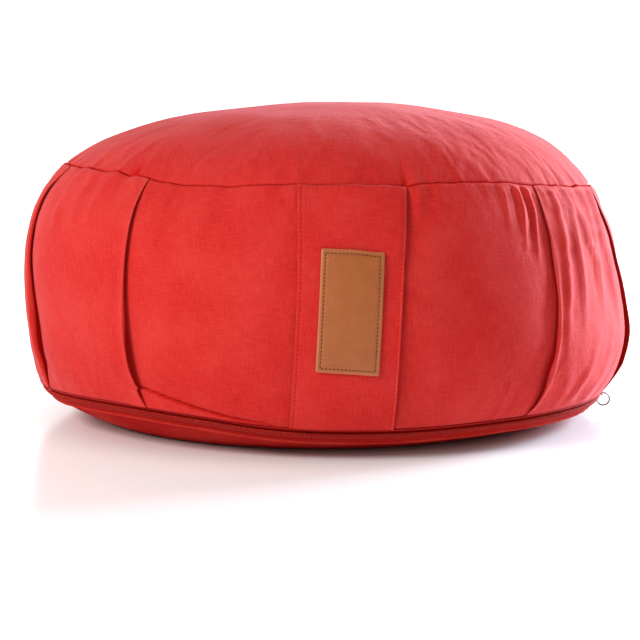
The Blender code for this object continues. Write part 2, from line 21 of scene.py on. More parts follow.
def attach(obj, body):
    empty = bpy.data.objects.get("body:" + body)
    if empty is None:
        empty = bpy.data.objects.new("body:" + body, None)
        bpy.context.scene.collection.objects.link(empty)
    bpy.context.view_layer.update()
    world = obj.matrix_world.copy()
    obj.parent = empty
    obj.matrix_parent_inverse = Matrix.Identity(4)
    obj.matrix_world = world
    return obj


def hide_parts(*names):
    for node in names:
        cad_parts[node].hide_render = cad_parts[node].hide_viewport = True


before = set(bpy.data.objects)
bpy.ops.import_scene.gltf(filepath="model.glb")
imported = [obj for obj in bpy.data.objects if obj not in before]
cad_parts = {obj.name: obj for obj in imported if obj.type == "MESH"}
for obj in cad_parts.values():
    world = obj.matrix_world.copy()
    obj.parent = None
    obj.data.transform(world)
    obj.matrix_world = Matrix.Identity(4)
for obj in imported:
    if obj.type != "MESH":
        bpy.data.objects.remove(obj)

Array, Piece, Material = np.ndarray, bpy.types.Object, bpy.types.Material
MM = 0.001
BODY = "root"
# What a cloth's mesh tells its material: each vertex's place along the weave, in metres, and a value for its
# painted shade and paleness, from
# -1, dark with painted shade, to 1, pale.
CLOTH_PLACE, WEAR_AND_SHADE = "cloth_place", "wear"
SEAM_PAINTED_SHADE = -0.2  # the painted shade of cloth in a seam's groove
log = logging.getLogger("zafu")


# ---- curves and noise ----


class Curve:
    """A smooth curve through rows of (place, value), which repeats if it has a period."""

    def __init__(self, rows: Sequence[Sequence[float]], period: float = 0.0) -> None:
        """Prepares the curve.

        Args:
            rows: The places, in rising order, with their values.
            period: The period, or 0 for a curve that ends where its rows do.
        """
        table = np.array(rows, float)
        places, values = table[:, 0], table[:, 1]
        self.start, self.period = places[0], period
        if period:
            places = np.concatenate((places[-2:] - period, places, places[:2] + period))
            values = np.concatenate((values[-2:], values, values[:2]))
        slopes = np.gradient(values)
        slopes[1:-1] = (values[2:] - values[:-2]) / (places[2:] - places[:-2])
        slopes[0] = (values[1] - values[0]) / (places[1] - places[0])
        slopes[-1] = (values[-1] - values[-2]) / (places[-1] - places[-2])
        self.places, self.values, self.slopes = places, values, slopes

    def __call__(self, at: Any) -> Array:
        """The values at some places.

        Args:
            at: A place or an array of them.

        Returns:
            The values, in the shape of `at`.
        """
        at = np.asarray(at, float)
        if self.period:
            at = (at - self.start) % self.period + self.start
        at = np.clip(at, self.places[0], self.places[-1])
        k = np.clip(np.searchsorted(self.places, at, side="right") - 1, 0, len(self.places) - 2)
        width = self.places[k + 1] - self.places[k]
        t = (at - self.places[k]) / width
        return (
            self.values[k] * (1 + 2 * t) * (1 - t) ** 2
            + self.slopes[k] * width * t * (1 - t) ** 2
            + self.values[k + 1] * t * t * (3 - 2 * t)
            - self.slopes[k + 1] * width * t * t * (1 - t)
        )


class Ripple:
    """Smooth unevenness: a sum of seeded waves with lengths in a given range."""

    def __init__(self, seed: int, shortest: float, longest: float, waves: int = 14) -> None:
        """Draws the waves.

        Args:
            seed: What the waves are drawn from.
            shortest: The shortest wave, in metres.
            longest: The longest wave, in metres.
            waves: How many waves are summed.
        """
        draw = np.random.default_rng(seed)
        heading = unit(draw.normal(size=(waves, 3)))
        length = draw.uniform(shortest, longest, waves)
        self.vectors = heading * (2 * math.pi / length)[:, None]
        self.phases = draw.uniform(0, 2 * math.pi, waves)

    def __call__(self, points: Array) -> Array:
        """The unevenness at points, mostly within -1 and 1."""
        return np.sin(points @ self.vectors.T + self.phases).sum(axis=-1) / math.sqrt(len(self.phases))


def unit(vectors: Array) -> Array:
    """The vectors along the last axis, each made 1 long."""
    return vectors / np.linalg.norm(vectors, axis=-1, keepdims=True)


def travelled(points: Array) -> Array:
    """How far along a line of points each one lies, in metres."""
    steps = np.linalg.norm(np.diff(points, axis=0), axis=1)
    return np.concatenate(([0], np.cumsum(steps)))


def stacked(*parts: Any) -> Array:
    """The parts, spread to one shape, with the numbers of each place along the last axis."""
    return np.stack(np.broadcast_arrays(*parts), axis=-1)


def turns(count: int) -> Array:
    """Angles at even steps round a circle, in radians."""
    return 2 * np.pi * np.arange(count) / count


def crowded(even: Array, amount: float) -> Array:
    """Even shares from 0 to 1, moved closer together at both ends."""
    return even - amount * np.sin(2 * np.pi * even) / (2 * np.pi)


def smooth_step(value: Any, low: float, high: float) -> Array:
    """0 below `low`, 1 above `high`, and an even rise between them."""
    t = np.clip((np.asarray(value, float) - low) / (high - low), 0, 1)
    return t * t * (3 - 2 * t)


def bell(distance: Any, width: float) -> Array:
    """1 at no distance, falling off over a width to either side."""
    return np.exp(-((np.asarray(distance, float) / width) ** 2))


def hump(distance: Any, size: tuple[float, float]) -> Array:
    """A hump of a height and width, at no distance."""
    return size[0] * bell(distance, size[1])


def ridge(distance: Any, height: float, place: float, width: float) -> Array:
    """A ridge of a height and width at a place along a distance."""
    return height * bell(distance - place, width)


def wrapped(azimuth: Any) -> Array:
    """An azimuth brought between -180 and 180."""
    return (np.asarray(azimuth, float) + 180) % 360 - 180


def at_azimuth(azimuth: Any, radius: Any, height: Any) -> Array:
    """The points at azimuths, radii and heights, with x, y and z along the last axis."""
    angle = np.radians(azimuth)
    return stacked(radius * np.sin(angle), -radius * np.cos(angle), height)


# ---- the cushion's form ----


class Pleat(NamedTuple):
    """A knife pleat: its fold edge's azimuth, how full it is, by how many degrees its top leans forward,
    how wide the slot under its flap gapes, how its edge bends forward, as (share, degrees) rows, how much
    painted shade its slot gets low down, how rubbed and pale its edge is, with painted shade on it where this
    is negative, the share above which the slot is shut, and how much of the fold is a dip in front."""

    azimuth: float
    fullness: float
    lean: float
    gape: float
    bend: tuple[tuple[float, float], ...] = ((0.0, 0.0), (1.0, 0.0))
    shade: float = 0.65
    edge: float = 1.0
    shut: float = 1.0
    dip: float = 0.5


class Crease(NamedTuple):
    """A ridge, or a furrow if its height is negative, down the band through (share, azimuth) places."""

    height: float
    width: float
    path: tuple[tuple[float, float], ...]


class GatherZone(NamedTuple):
    """Small gathers that leave a seam between two azimuths: how many, how high, and how far they reach."""

    start: float
    end: float
    count: int
    height: float
    reach: float


def gather_zones(*rows: Sequence[float]) -> tuple[GatherZone, ...]:
    """Zones of gathers, from rows with their heights in millimetres."""
    return tuple(GatherZone(*row[:3], row[3] * MM, row[4]) for row in rows)


# How the edges of two of the pleats in front bend: by how many degrees at each share.
LEFT_BEND = (
    (0, 0), (0.10, 0.5), (0.30, 1.0), (0.40, 0.8), (0.50, 0), (0.65, -1.5), (0.80, -1.4), (0.90, 0.4),
    (1, 3.0)
)
RIGHT_BEND = (
    (0, 1.2), (0.08, 1.3), (0.15, 1.3), (0.21, 1.2), (0.28, 0.6), (0.35, 0), (0.42, -0.3), (0.55, -0.55),
    (0.70, -0.7), (0.78, -0.95), (0.86, -0.8), (0.94, -0.4), (1, 0)
)
PLEATS = (
    Pleat(-146.0, 0.80, 0.5, 0.8),
    Pleat(-110.0, 0.90, -0.5, 1.0),
    Pleat(-74.0, 1.05, -2.5, 0.65, LEFT_BEND, shade=0.4, shut=0.96),
    Pleat(-40.4, 1.0, -0.8, 1.1, shade=0.5),
    Pleat(40.0, 0.85, -1.6, 0.7, RIGHT_BEND, shade=0.2),
    # This pleat's edge is negative: painted shade on its fold edge.
    Pleat(76.0, 0.65, 2.5, 1.5, shade=0.6, edge=-0.7, dip=0.2),
    Pleat(111.0, 0.90, 1.0, 0.9),
    Pleat(147.0, 0.80, 0.0, 1.0),
    Pleat(178.0, 0.75, 0.5, 0.8),
)

# The long folds of the side band that the photograph shows: height and width in millimetres, and the azimuth
# at each share, from the top seam down.
CREASES = tuple(
    Crease(height * MM, width * MM, tuple(path.items()))
    for height, width, path in (
        (1.0, 1.5, {0.80: 41.5, 0.70: 41.8, 0.57: 41.1, 0.44: 40.4, 0.31: 39.4, 0.18: 38.7, 0: 36.2}),
        (2.0, 3.6, {1: 46.4, 0.91: 46.3, 0.85: 45.7, 0.76: 45.0, 0.57: 43.8, 0.37: 42.4, 0.24: 41.2}),
        (1.4, 1.7, {1: 48.0, 0.95: 48.7, 0.91: 48.8, 0.85: 47.9, 0.79: 47.4}),
        (2.4, 3.6, {1: 51.4, 0.91: 51.2, 0.85: 50.3, 0.76: 49.1, 0.62: 49.0, 0.43: 48.4, 0.30: 47.9}),
        (3.1, 3.4, {1: 54.2, 0.91: 53.6, 0.85: 54.1, 0.76: 54.3, 0.69: 56.0, 0.55: 56.9, 0.34: 57.3}),
        (2.1, 2.3, {1: 59.9, 0.95: 60.6, 0.91: 61.0, 0.84: 59.8, 0.75: 58.5, 0.68: 58.2}),
        (3.0, 3.5, {1: 66.8, 0.84: 65.2, 0.77: 63.8, 0.68: 64.6, 0.53: 64.5, 0.38: 66.0, 0.30: 66.2}),
        (-1.5, 1.7, {1: 63.4, 0.84: 62.2, 0.74: 60.9, 0.58: 61.0, 0.42: 62.0}),
        (-1.2, 1.6, {1: 57.2, 0.88: 57.2, 0.78: 56.4}),
        (1.7, 2.0, {1: 35.7, 0.91: 36.2, 0.82: 35.3, 0.68: 34.3}),
        (-1.0, 1.7, {1: 34.3, 0.92: 34.6, 0.80: 33.6}),
        (1.6, 2.0, {1: 38.5, 0.90: 39.4, 0.78: 38.0, 0.64: 37.0}),
        (-1.2, 1.6, {1: 37.2, 0.90: 37.8, 0.76: 36.8}),
        (1.0, 2.0, {1: 31.9, 0.90: 31.9, 0.78: 31.2}),
        (-1.1, 1.5, {1: 16.4, 0.93: 15.4, 0.80: 13.8}),
        (1.0, 2.4, {1: 14.0, 0.94: 13.4, 0.84: 12.6}),
        (-0.8, 1.6, {1: -31.8, 0.93: -31.4, 0.84: -31.2}),
        (0.7, 3.0, {1: -34.6, 0.85: -34.8, 0.62: -35.2}),
        (1.0, 3.2, {1: -64.6, 0.86: -64.0, 0.66: -62.6}),
        (0.9, 3.0, {1: -58.0, 0.88: -57.4, 0.70: -56.0}),
        (0.8, 3.0, {1: -52.4, 0.88: -52.0, 0.74: -51.2}),
        (0.9, 2.2, {0.14: 24.6, 0.06: 24.0, 0.0: 23.6}),
        (-0.7, 1.6, {0.12: 22.6, 0.05: 22.0, 0.0: 21.8}),
        (0.9, 2.0, {0.18: 29.4, 0.08: 28.6, 0.0: 28.0}),
        (-0.6, 1.6, {0.15: 31.4, 0.06: 30.6, 0.0: 30.0}),
        (1.4, 3.4, {0.36: 54.0, 0.18: 50.4, 0.0: 46.0}),
        (1.3, 3.2, {0.34: 62.0, 0.16: 57.6, 0.0: 53.4}),
        (1.1, 3.0, {0.30: 68.4, 0.14: 64.6, 0.0: 61.0}),
    )
)
TOP_GATHERS = gather_zones(
    (-145, -111, 8, 0.9, 0.16),
    (-109, -76, 8, 0.9, 0.14),
    (-71, -43, 6, 0.8, 0.10),
    (-71, -43, 13, 0.8, 0.045),
    (-38, -9.5, 11, 0.50, 0.05),
    (-7, 10, 7, 0.45, 0.05),
    (12, 33, 10, 0.9, 0.07),
    (42, 72, 12, 0.8, 0.05),
    (77, 109, 9, 1.3, 0.26),
    (112, 145, 8, 1.0, 0.18),
    (148, 176, 7, 0.9, 0.16),
    (180, 212, 8, 0.9, 0.15),
)
ZIP_GATHERS = gather_zones(
    (-145, -76, 12, 0.8, 0.10),
    (-72, -42, 5, 0.6, 0.08),
    (-36, -10, 4, 0.4, 0.07),
    (12, 38, 6, 0.5, 0.06),
    (43, 74, 7, 0.8, 0.12),
    (78, 212, 26, 0.8, 0.12),
)
# Short tucks of the top panel at its seam: azimuth, width in degrees, depth, and reach from the seam.
PANEL_TUCKS = (
    (-45.8, 1.0, 2.2 * MM, 5.0 * MM), (-60.8, 0.7, -0.8 * MM, 12.0 * MM), (-55.0, 0.8, 0.6 * MM, 6.0 * MM),
    (11.4, 0.5, 2.2 * MM, 6.0 * MM), (13.4, 0.9, -0.8 * MM, 5.0 * MM), (16.4, 0.5, 1.1 * MM, 4.5 * MM),
    (47.4, 0.6, 0.9 * MM, 7.0 * MM), (52.6, 0.7, 1.1 * MM, 9.0 * MM), (60.4, 0.9, -1.0 * MM, 10.0 * MM),
    (66.0, 0.8, 0.9 * MM, 8.0 * MM),
)
PANEL_GATHERS = gather_zones(
    (-75, -38, 9, 0.6, 14 * MM),
    (-36, 10, 8, 0.3, 8 * MM),
    (10, 36, 9, 0.55, 12 * MM),
    (36, 75, 9, 0.5, 10 * MM),
    (75, 285, 46, 0.7, 14 * MM),
)


def gather_relief(
    zones: Sequence[GatherZone], seed: int, azimuth: Array, away: Array, lean: float
) -> Array:
    """The height of the gathers along a seam.

    Args:
        zones: Where they are.
        seed: What each one's place, width, height and reach are drawn from.
        azimuth: The azimuths of the places asked for.
        away: How far each place is from the seam, in the unit of the zones' reach.
        lean: By how many degrees a gather leans over its reach.

    Returns:
        The heights, in metres.
    """
    draw = np.random.default_rng(seed)
    total = np.zeros(np.broadcast(azimuth, away).shape)
    for zone in zones:
        step = (zone.end - zone.start) / zone.count
        for k in range(zone.count):
            middle = zone.start + step * (k + 0.5 + draw.uniform(-0.38, 0.38))
            width = step * draw.uniform(0.20, 0.36)
            height = zone.height * draw.uniform(0.35, 1.25)
            reach = zone.reach * draw.uniform(0.45, 1.4)
            leaning = lean * draw.uniform(0.2, 1.0)
            across = wrapped(azimuth - middle - leaning * away / zone.reach)
            near = np.abs(across) < 4 * width
            fade = np.exp(-away / reach) * smooth_step(away, 0, 0.12 * zone.reach)
            ridge = bell(across, width) - 0.45 * bell(across - 1.6 * width, width)
            total += np.where(near, height * fade * ridge, 0)
    return total


@dataclass(frozen=True)
class Form:
    """The cushion's measured form, which every piece of the cover is laid on."""

    crown_height: float = 0.2167
    crown_shift: float = 8.0 * MM
    dome_share_left: float = 0.70
    dome_share_right: float = 0.56
    rim_power: int = 8
    top_rim_radius: float = 0.1812
    top_rim_shift: float = 1.8 * MM
    zip_radius: float = 0.1935
    zip_shift: float = -2.2 * MM
    zip_tilt: float = math.radians(48)
    contact_radius: float = 0.143
    contact_shift: float = 8.0 * MM
    contact_azimuth: float = -32.0
    lift_power_left: float = 1.55
    lift_power_right: float = 1.25
    zip_start: float = -116.0
    zip_end: float = 97.0
    channel_half_width: float = 6.0 * MM
    channel_depth: float = 2.2 * MM
    channel_floor: float = 0.85
    channel_ramp: float = 7.0
    plain_seam_half_width: float = 0.5 * MM
    dip_reach: float = 10 * MM
    rise_reach: float = 28 * MM
    band_height: float = 0.150
    seam_roll: float = 0.35 * MM
    radius_by_share: Curve = Curve(
        ((0, 0.1975), (0.07, 0.2014), (0.16, 0.2053), (0.28, 0.2076), (0.40, 0.2076), (0.52, 0.2066),
         (0.65, 0.2038), (0.78, 0.1990), (0.88, 0.1927), (0.95, 0.1872), (1, 0.1825))
    )
    lean_by_share: Curve = Curve(
        ((0, 0), (0.07, 0.0008), (0.16, 0.0011), (0.28, 0.0014), (0.40, -0.0001), (0.52, -0.0016),
         (0.65, -0.0030), (0.78, -0.0032), (0.88, -0.0026), (0.95, -0.0005), (1, 0.0018))
    )
    top_seam_curve: Curve = Curve(
        ((-155, 0.1700), (-115, 0.1735), (-76, 0.1745), (-46, 0.1705), (-32, 0.1648), (-8, 0.1663),
         (11, 0.1652), (25, 0.1668), (50, 0.1625), (80, 0.1597), (120, 0.1610), (165, 0.1660)),
        360,
    )
    zip_seam_curve: Curve = Curve(
        ((-150, 0.0205), (-110, 0.0215), (-75, 0.0225), (-47, 0.0250), (-28, 0.0222), (-12, 0.0172),
         (8, 0.0155), (30, 0.0165), (60, 0.0160), (95, 0.0155), (140, 0.0190), (180, 0.0200)),
        360,
    )
    sweep_by_share: Curve = Curve(((0, 2.8), (0.06, 1.5), (0.15, 0.6), (0.30, 0), (0.55, 0), (1, 0)))
    lift_by_share: Curve = Curve(
        ((0, 1.2 * MM), (0.06, 4.0 * MM), (0.15, 6.4 * MM), (0.30, 6.8 * MM), (0.55, 4.0 * MM),
         (0.82, 3.4 * MM), (1, 1.0 * MM))
    )
    tuck_by_azimuth: Curve = Curve(
        ((-41, 0.090), (-37.5, 0.082), (-32, 0.058), (-26, 0.030), (-21.8, 0.017), (-18, 0.010), (-10, 0.004))
    )
    swell: Ripple = Ripple(11, 0.05, 0.11)
    crumple: Ripple = Ripple(12, 0.012, 0.030)

    def seam_wobble(self, azimuth: Any) -> Array:
        """How far the stitching of the top seam strays up from its curve.

        Args:
            azimuth: The azimuths.

        Returns:
            The heights, in metres.
        """
        jog = 1.5 * MM * bell(wrapped(azimuth + 50.6), 1.5) - 1.6 * MM * bell(wrapped(azimuth + 46.6), 1.6)
        nudge = 0.9 * MM * bell(wrapped(azimuth - 14.2), 1.3) - 0.5 * MM * bell(wrapped(azimuth - 11.4), 0.9)
        turn = np.radians(azimuth)
        drift = 0.30 * np.sin(23 * turn + 1) + 0.22 * np.sin(41 * turn + 2) + 0.16 * np.sin(67 * turn)
        return jog + nudge + drift * MM

    def top_seam(self, azimuth: Any) -> Array:
        """The height of the top seam."""
        return self.top_seam_curve(azimuth) + self.seam_wobble(azimuth)

    def in_zip_frame(self, azimuth: Any, along: Any, out: Any) -> tuple[Array, Array]:
        """The radius and the height of places in the zip's frame.

        Args:
            azimuth: The azimuths.
            along: How far up the tapes.
            out: How far out of the filling.

        Returns:
            The radii and the heights.
        """
        cosine, sine = math.cos(self.zip_tilt), math.sin(self.zip_tilt)
        radius = self.zip_radius + self.zip_shift * np.sin(np.radians(azimuth))
        radius = radius + along * cosine + out * sine
        return radius, self.zip_seam_curve(azimuth) + along * sine - out * cosine

    def zip_point(self, azimuth: Any, along: Any, out: Any) -> Array:
        """The points of places in the zip's frame."""
        return at_azimuth(azimuth, *self.in_zip_frame(azimuth, along, out))

    def channel_half(self, azimuth: Any) -> Array:
        """Half the width of the zip's channel, which closes to a plain seam past the zip's ends.

        Args:
            azimuth: The azimuths.

        Returns:
            The half widths.
        """
        turned = wrapped(azimuth)
        past = np.maximum(np.maximum(self.zip_start - turned, turned - self.zip_end), 0)
        opened = smooth_step(1 - past / self.channel_ramp, 0, 1)
        return self.plain_seam_half_width + opened * (self.channel_half_width - self.plain_seam_half_width)

    def fold_azimuth(self, pleat: Pleat, share: Any) -> Array:
        """The azimuth of a pleat's fold edge.

        Args:
            pleat: The pleat.
            share: The shares.

        Returns:
            The azimuths, in degrees.
        """
        sweep = self.sweep_by_share(share) + pleat.lean * np.asarray(share, float) ** 3
        sweep = sweep + Curve(pleat.bend)(share)
        return pleat.azimuth - math.copysign(1, pleat.azimuth) * sweep

    def pleat_rise(self, azimuth: Any, share: Any) -> Array:
        """How far all the pleats together move the band's cloth out.

        Args:
            azimuth: The azimuths.
            share: The shares.

        Returns:
            The distances, in metres.
        """
        lift = self.lift_by_share(share)
        total = 0.0
        for pleat in PLEATS:
            side = math.copysign(1, pleat.azimuth)
            away = np.radians(wrapped(azimuth - self.fold_azimuth(pleat, share)) * side) * self.top_rim_radius
            dip = -pleat.dip * np.exp(np.minimum(away, 0) / self.dip_reach)
            rise = (1 - pleat.dip) * np.exp(-np.maximum(away, 0) / self.rise_reach)
            total = total + lift * pleat.fullness * np.where(away < 0, dip, rise)
        return total

    def crease_rise(self, azimuth: Array, share: Array) -> Array:
        """The height of the long folds of the side band.

        Args:
            azimuth: The azimuths.
            share: The shares.

        Returns:
            The heights, in metres.
        """
        total = np.zeros(np.broadcast(azimuth, share).shape)
        for crease in CREASES:
            top, bottom = crease.path[0][0], crease.path[-1][0]
            middle = Curve(crease.path[::-1])(share)
            away = np.radians(wrapped(azimuth - middle)) * self.zip_radius
            length = top - bottom
            lasts = smooth_step(share, bottom - 0.02, bottom + 0.45 * length) if bottom > 0.01 else 1.0
            starts = 1 - smooth_step(share, top - 0.35 * length, top + 0.02) if top < 0.99 else 1.0
            total += crease.height * lasts * starts * bell(away, crease.width)
        return total * smooth_step(1 - share, 0, 0.03) * smooth_step(share, 0, 0.03)

    def above_tuck(self, azimuth: Array, share: Array) -> Array:
        """How far above the line of the narrow tuck a place on the band is."""
        return (share - self.tuck_by_azimuth(azimuth)) * self.band_height

    def tuck_rise(self, azimuth: Array, share: Array) -> Array:
        """The narrow tuck over the zip, at the left of the front panel.

        Args:
            azimuth: The azimuths.
            share: The shares.

        Returns:
            The heights, in metres.
        """
        here = smooth_step(azimuth, -42, -38) * (1 - smooth_step(azimuth, -17, -9))
        above = self.above_tuck(azimuth, share)
        ditch = -1.7 * MM * bell(above, 0.8 * MM)
        lip = 1.6 * MM * (1 - smooth_step(above, -1.5 * MM, -0.3 * MM))
        return here * (ditch + lip)

    def from_strip(self, azimuth: Array, share: Array) -> Array:
        """How far a place on the band is right of the front strip's middle."""
        return np.radians(wrapped(azimuth - strip_middle(share))) * self.radius_by_share(share)

    def beside_strip(self, azimuth: Array, share: Array) -> Array:
        """How far a place on the band is right of the front strip's right edge."""
        return self.from_strip(azimuth, share) - strip_half(share)

    def painted_shade(self, azimuth: Array, share: Array) -> Array:
        """How much painted shade the cloth gets, from 0 to 1: under the strip's edge and along the tuck.

        Args:
            azimuth: The azimuths.
            share: The shares.

        Returns:
            The amounts of painted shade.
        """
        painted_shade_amount = 0.45 * strip_loose(share) * bell(self.beside_strip(azimuth, share) - 0.6 * MM, 1.0 * MM)
        here = smooth_step(azimuth, -42, -38) * (1 - smooth_step(azimuth, -24, -12))
        along_tuck = 0.75 * here * bell(self.above_tuck(azimuth, share), 0.7 * MM)
        return np.minimum(1, painted_shade_amount + along_tuck)

    def covered(self, azimuth: Array, share: Array) -> Array:
        """1 where the front strip lies over the band, and 0 away from it."""
        return 1 - smooth_step(np.abs(self.from_strip(azimuth, share)), 26 * MM, 30 * MM)

    def band(self, azimuth: Any, share: Any, relief: bool = True) -> tuple[Array, Array]:
        """The side band's outer face.

        Args:
            azimuth: The azimuths.
            share: The shares, of a shape that fits the azimuths.
            relief: Whether the creases, the gathers and the unevenness are added.

        Returns:
            The radii and the heights.
        """
        azimuth, share = np.broadcast_arrays(np.asarray(azimuth, float), np.asarray(share, float))
        lower_radius, lower_height = self.in_zip_frame(azimuth, self.channel_half(azimuth), 0)
        radius = self.radius_by_share(share) + self.lean_by_share(share) * np.sin(np.radians(azimuth))
        radius = radius + self.pleat_rise(azimuth, share)
        radius = radius + (lower_radius - self.radius_by_share(0)) * np.maximum(0, 1 - share / 0.12)
        radius = radius - self.seam_roll * bell((1 - share) * self.band_height, 1.1 * MM)
        height = lower_height + share * (self.top_seam(azimuth) - lower_height)
        if relief:
            open_cloth = 1 - self.covered(azimuth, share)
            details = self.crease_rise(azimuth, share) + self.tuck_rise(azimuth, share)
            ditch = 0.9 * MM * strip_loose(share)
            details = details - ditch * bell(self.beside_strip(azimuth, share) - 1.0 * MM, 1.2 * MM)
            details = details + gather_relief(TOP_GATHERS, 5, azimuth, 1 - share, 1.5)
            details = details + gather_relief(ZIP_GATHERS, 6, azimuth, share, -1.0)
            points = at_azimuth(azimuth, radius, height)
            ends = smooth_step(share, 0, 0.08) * smooth_step(1 - share, 0, 0.08)
            details = details + ends * (0.55 * MM * self.swell(points) + 0.10 * MM * self.crumple(points))
            radius = radius + details * open_cloth
        return radius, height

    def band_point(self, azimuth: Any, share: Any, out: Any = 0.0, relief: bool = False) -> Array:
        """The points `out` above the band's outer face.

        Args:
            azimuth: The azimuths.
            share: The shares.
            out: How far above it.
            relief: Whether the creases and the like are added.

        Returns:
            The points.
        """
        radius, height = self.band(azimuth, share, relief)
        low = self.band(azimuth, np.maximum(np.asarray(share) - 0.01, 0), False)
        high = self.band(azimuth, np.minimum(np.asarray(share) + 0.01, 1), False)
        rise, run = high[1] - low[1], high[0] - low[0]
        length = np.hypot(rise, run)
        return at_azimuth(azimuth, radius + out * rise / length, height - out * run / length)

    def at_side(self, azimuth: Any, left: float, right: float) -> Array:
        """A value between those at -X and at +X."""
        return left + (right - left) * (1 + np.sin(np.radians(azimuth))) / 2

    def crown_point(self, azimuth: Any, share: Any, depth: Any = 0.0) -> Array:
        """Points on the top panel, or `depth` under it: share 0 is at its rim and 1 in its middle.

        Args:
            azimuth: The azimuths.
            share: The shares.
            depth: How far under the panel's outer face.

        Returns:
            The points.
        """
        rim = self.top_rim_radius + self.top_rim_shift * np.sin(np.radians(azimuth))
        t = 1 - np.asarray(share, float)
        seam = self.top_seam_curve(azimuth) + self.seam_wobble(azimuth) * t**20
        drop = self.crown_height - seam
        dome = self.at_side(azimuth, self.dome_share_left, self.dome_share_right)
        power = self.rim_power
        slope = drop / rim * (2 * dome * t + power * (1 - dome) * t ** (power - 1))
        fall = dome * t**2 + (1 - dome) * t**power
        lean = np.hypot(1, slope)
        height = self.crown_height - drop * fall - depth / lean
        points = at_azimuth(azimuth, rim * t - depth * slope / lean, height)
        points[..., 0] += self.crown_shift * (1 - t * t)
        return points

    def base_point(self, azimuth: Any, share: Any, depth: Any = 0.0) -> Array:
        """Points on the bottom panel, or `depth` inside it: share 0 is its rim, 1 where it meets the floor.

        Args:
            azimuth: The azimuths.
            share: The shares.
            depth: How far inside the panel's outer face.

        Returns:
            The points.
        """
        rim, rim_height = self.in_zip_frame(azimuth, -self.channel_half(azimuth), 0)
        turn = np.radians(np.asarray(azimuth) - self.contact_azimuth)
        contact = self.contact_radius + self.contact_shift * np.cos(turn)
        power = self.at_side(azimuth, self.lift_power_left, self.lift_power_right)
        t = 1 - np.asarray(share, float)
        slope = power * rim_height / (rim - contact) * t ** (power - 1)
        lean = np.hypot(1, slope)
        radius = contact + (rim - contact) * t - depth * slope / lean
        return at_azimuth(azimuth, radius, rim_height * t**power + depth / lean)


def strip_middle(share: Any) -> Array:
    """The azimuth of the front strip's middle."""
    return -1.26 + 2.24 * np.asarray(share, float)


def strip_half(share: Any) -> Array:
    """Half the front strip's width, which grows a little towards the top seam."""
    return 31 * MM + 1.5 * MM * smooth_step(share, 0.5, 1)


def strip_loose(share: Any) -> Array:
    """How loose the front strip's right edge is: 1 low down, less near the top seam, which holds it."""
    return 1 - 0.75 * smooth_step(share, 0.50, 0.85)


FORM = Form()


# ---- mesh helpers ----


def linked(name: str, data: Any) -> Piece:
    """A new object with some data, linked to the scene."""
    made = bpy.data.objects.new(name, data)
    bpy.context.scene.collection.objects.link(made)
    return made


def mesh_piece(name: str, points: Array, faces: Sequence[Sequence[int]]) -> Piece:
    """A smooth-shaded mesh object.

    Args:
        name: The piece's name.
        points: Its vertices, one row each.
        faces: Its faces, as vertex numbers.

    Returns:
        The object, linked to the scene.
    """
    mesh = bpy.data.meshes.new(name)
    mesh.from_pydata(points.reshape(-1, 3).tolist(), [], [tuple(face) for face in faces])
    mesh.validate()
    mesh.shade_smooth()
    return linked(name, mesh)


def grid_faces(rows: int, columns: int, first: int = 0, closed: bool = False) -> list[tuple[int, ...]]:
    """The faces between the rows of a grid of vertices.

    Args:
        rows: How many rows it has, from the lowest up.
        columns: How many vertices a row has.
        first: The number of its first vertex.
        closed: Whether a row's last vertex joins its first.

    Returns:
        The faces.
    """
    faces = []
    for row in range(rows - 1):
        for column in range(columns if closed else columns - 1):
            after = (column + 1) % columns
            low, high = first + row * columns, first + (row + 1) * columns
            faces.append((low + column, low + after, high + after, high + column))
    return faces


def closed_rings(rings: Sequence[Array], bottom: Array, top: Array) -> tuple[Array, list]:
    """A closed skin over rings of points, from the lowest up, with a point that closes each end.

    Args:
        rings: The rings, each an array of as many points.
        bottom: The point in the middle of the first ring.
        top: The point in the middle of the last ring.

    Returns:
        The vertices and the faces.
    """
    count = len(rings[0])
    points = np.concatenate([*rings, bottom[None], top[None]])
    faces = grid_faces(len(rings), count, closed=True)
    last = (len(rings) - 1) * count
    low, high = len(points) - 2, len(points) - 1
    for k in range(count):
        after = (k + 1) % count
        faces.append((after, k, low))
        faces.append((last + k, last + after, high))
    return points, faces


def sheet_between(outer: Array, inner: Array, bulge: float) -> tuple[Array, list]:
    """A closed sheet between two open grids, with rounded edges.

    Args:
        outer: The outer face's points, by row and column.
        inner: The inner face's points, in the same order.
        bulge: How far the edges round out.

    Returns:
        The vertices and the faces. The outer face's vertices come first, row by row.
    """
    rows, columns = outer.shape[:2]
    count = rows * columns
    faces = grid_faces(rows, columns)
    faces += [face[::-1] for face in grid_faces(rows, columns, count)]
    number = np.arange(count).reshape(rows, columns)
    edge = np.concatenate((number[0, :-1], number[:-1, -1], number[-1, :0:-1], number[:0:-1, 0]))
    flat_outer, flat_inner = outer.reshape(-1, 3), inner.reshape(-1, 3)
    middle = (flat_outer[edge] + flat_inner[edge]) / 2
    away = np.zeros((rows, columns, 3))
    away[0] += outer[0] - outer[1]
    away[-1] += outer[-1] - outer[-2]
    away[:, 0] += outer[:, 0] - outer[:, 1]
    away[:, -1] += outer[:, -1] - outer[:, -2]
    heading = unit(away.reshape(-1, 3)[edge])
    points = np.concatenate((flat_outer, flat_inner, middle + heading * bulge))
    for k in range(len(edge)):
        after = (k + 1) % len(edge)
        rim, following = 2 * count + k, 2 * count + after
        faces.append((int(edge[k]), rim, following, int(edge[after])))
        faces.append((rim, int(edge[k]) + count, int(edge[after]) + count, following))
    return points, faces


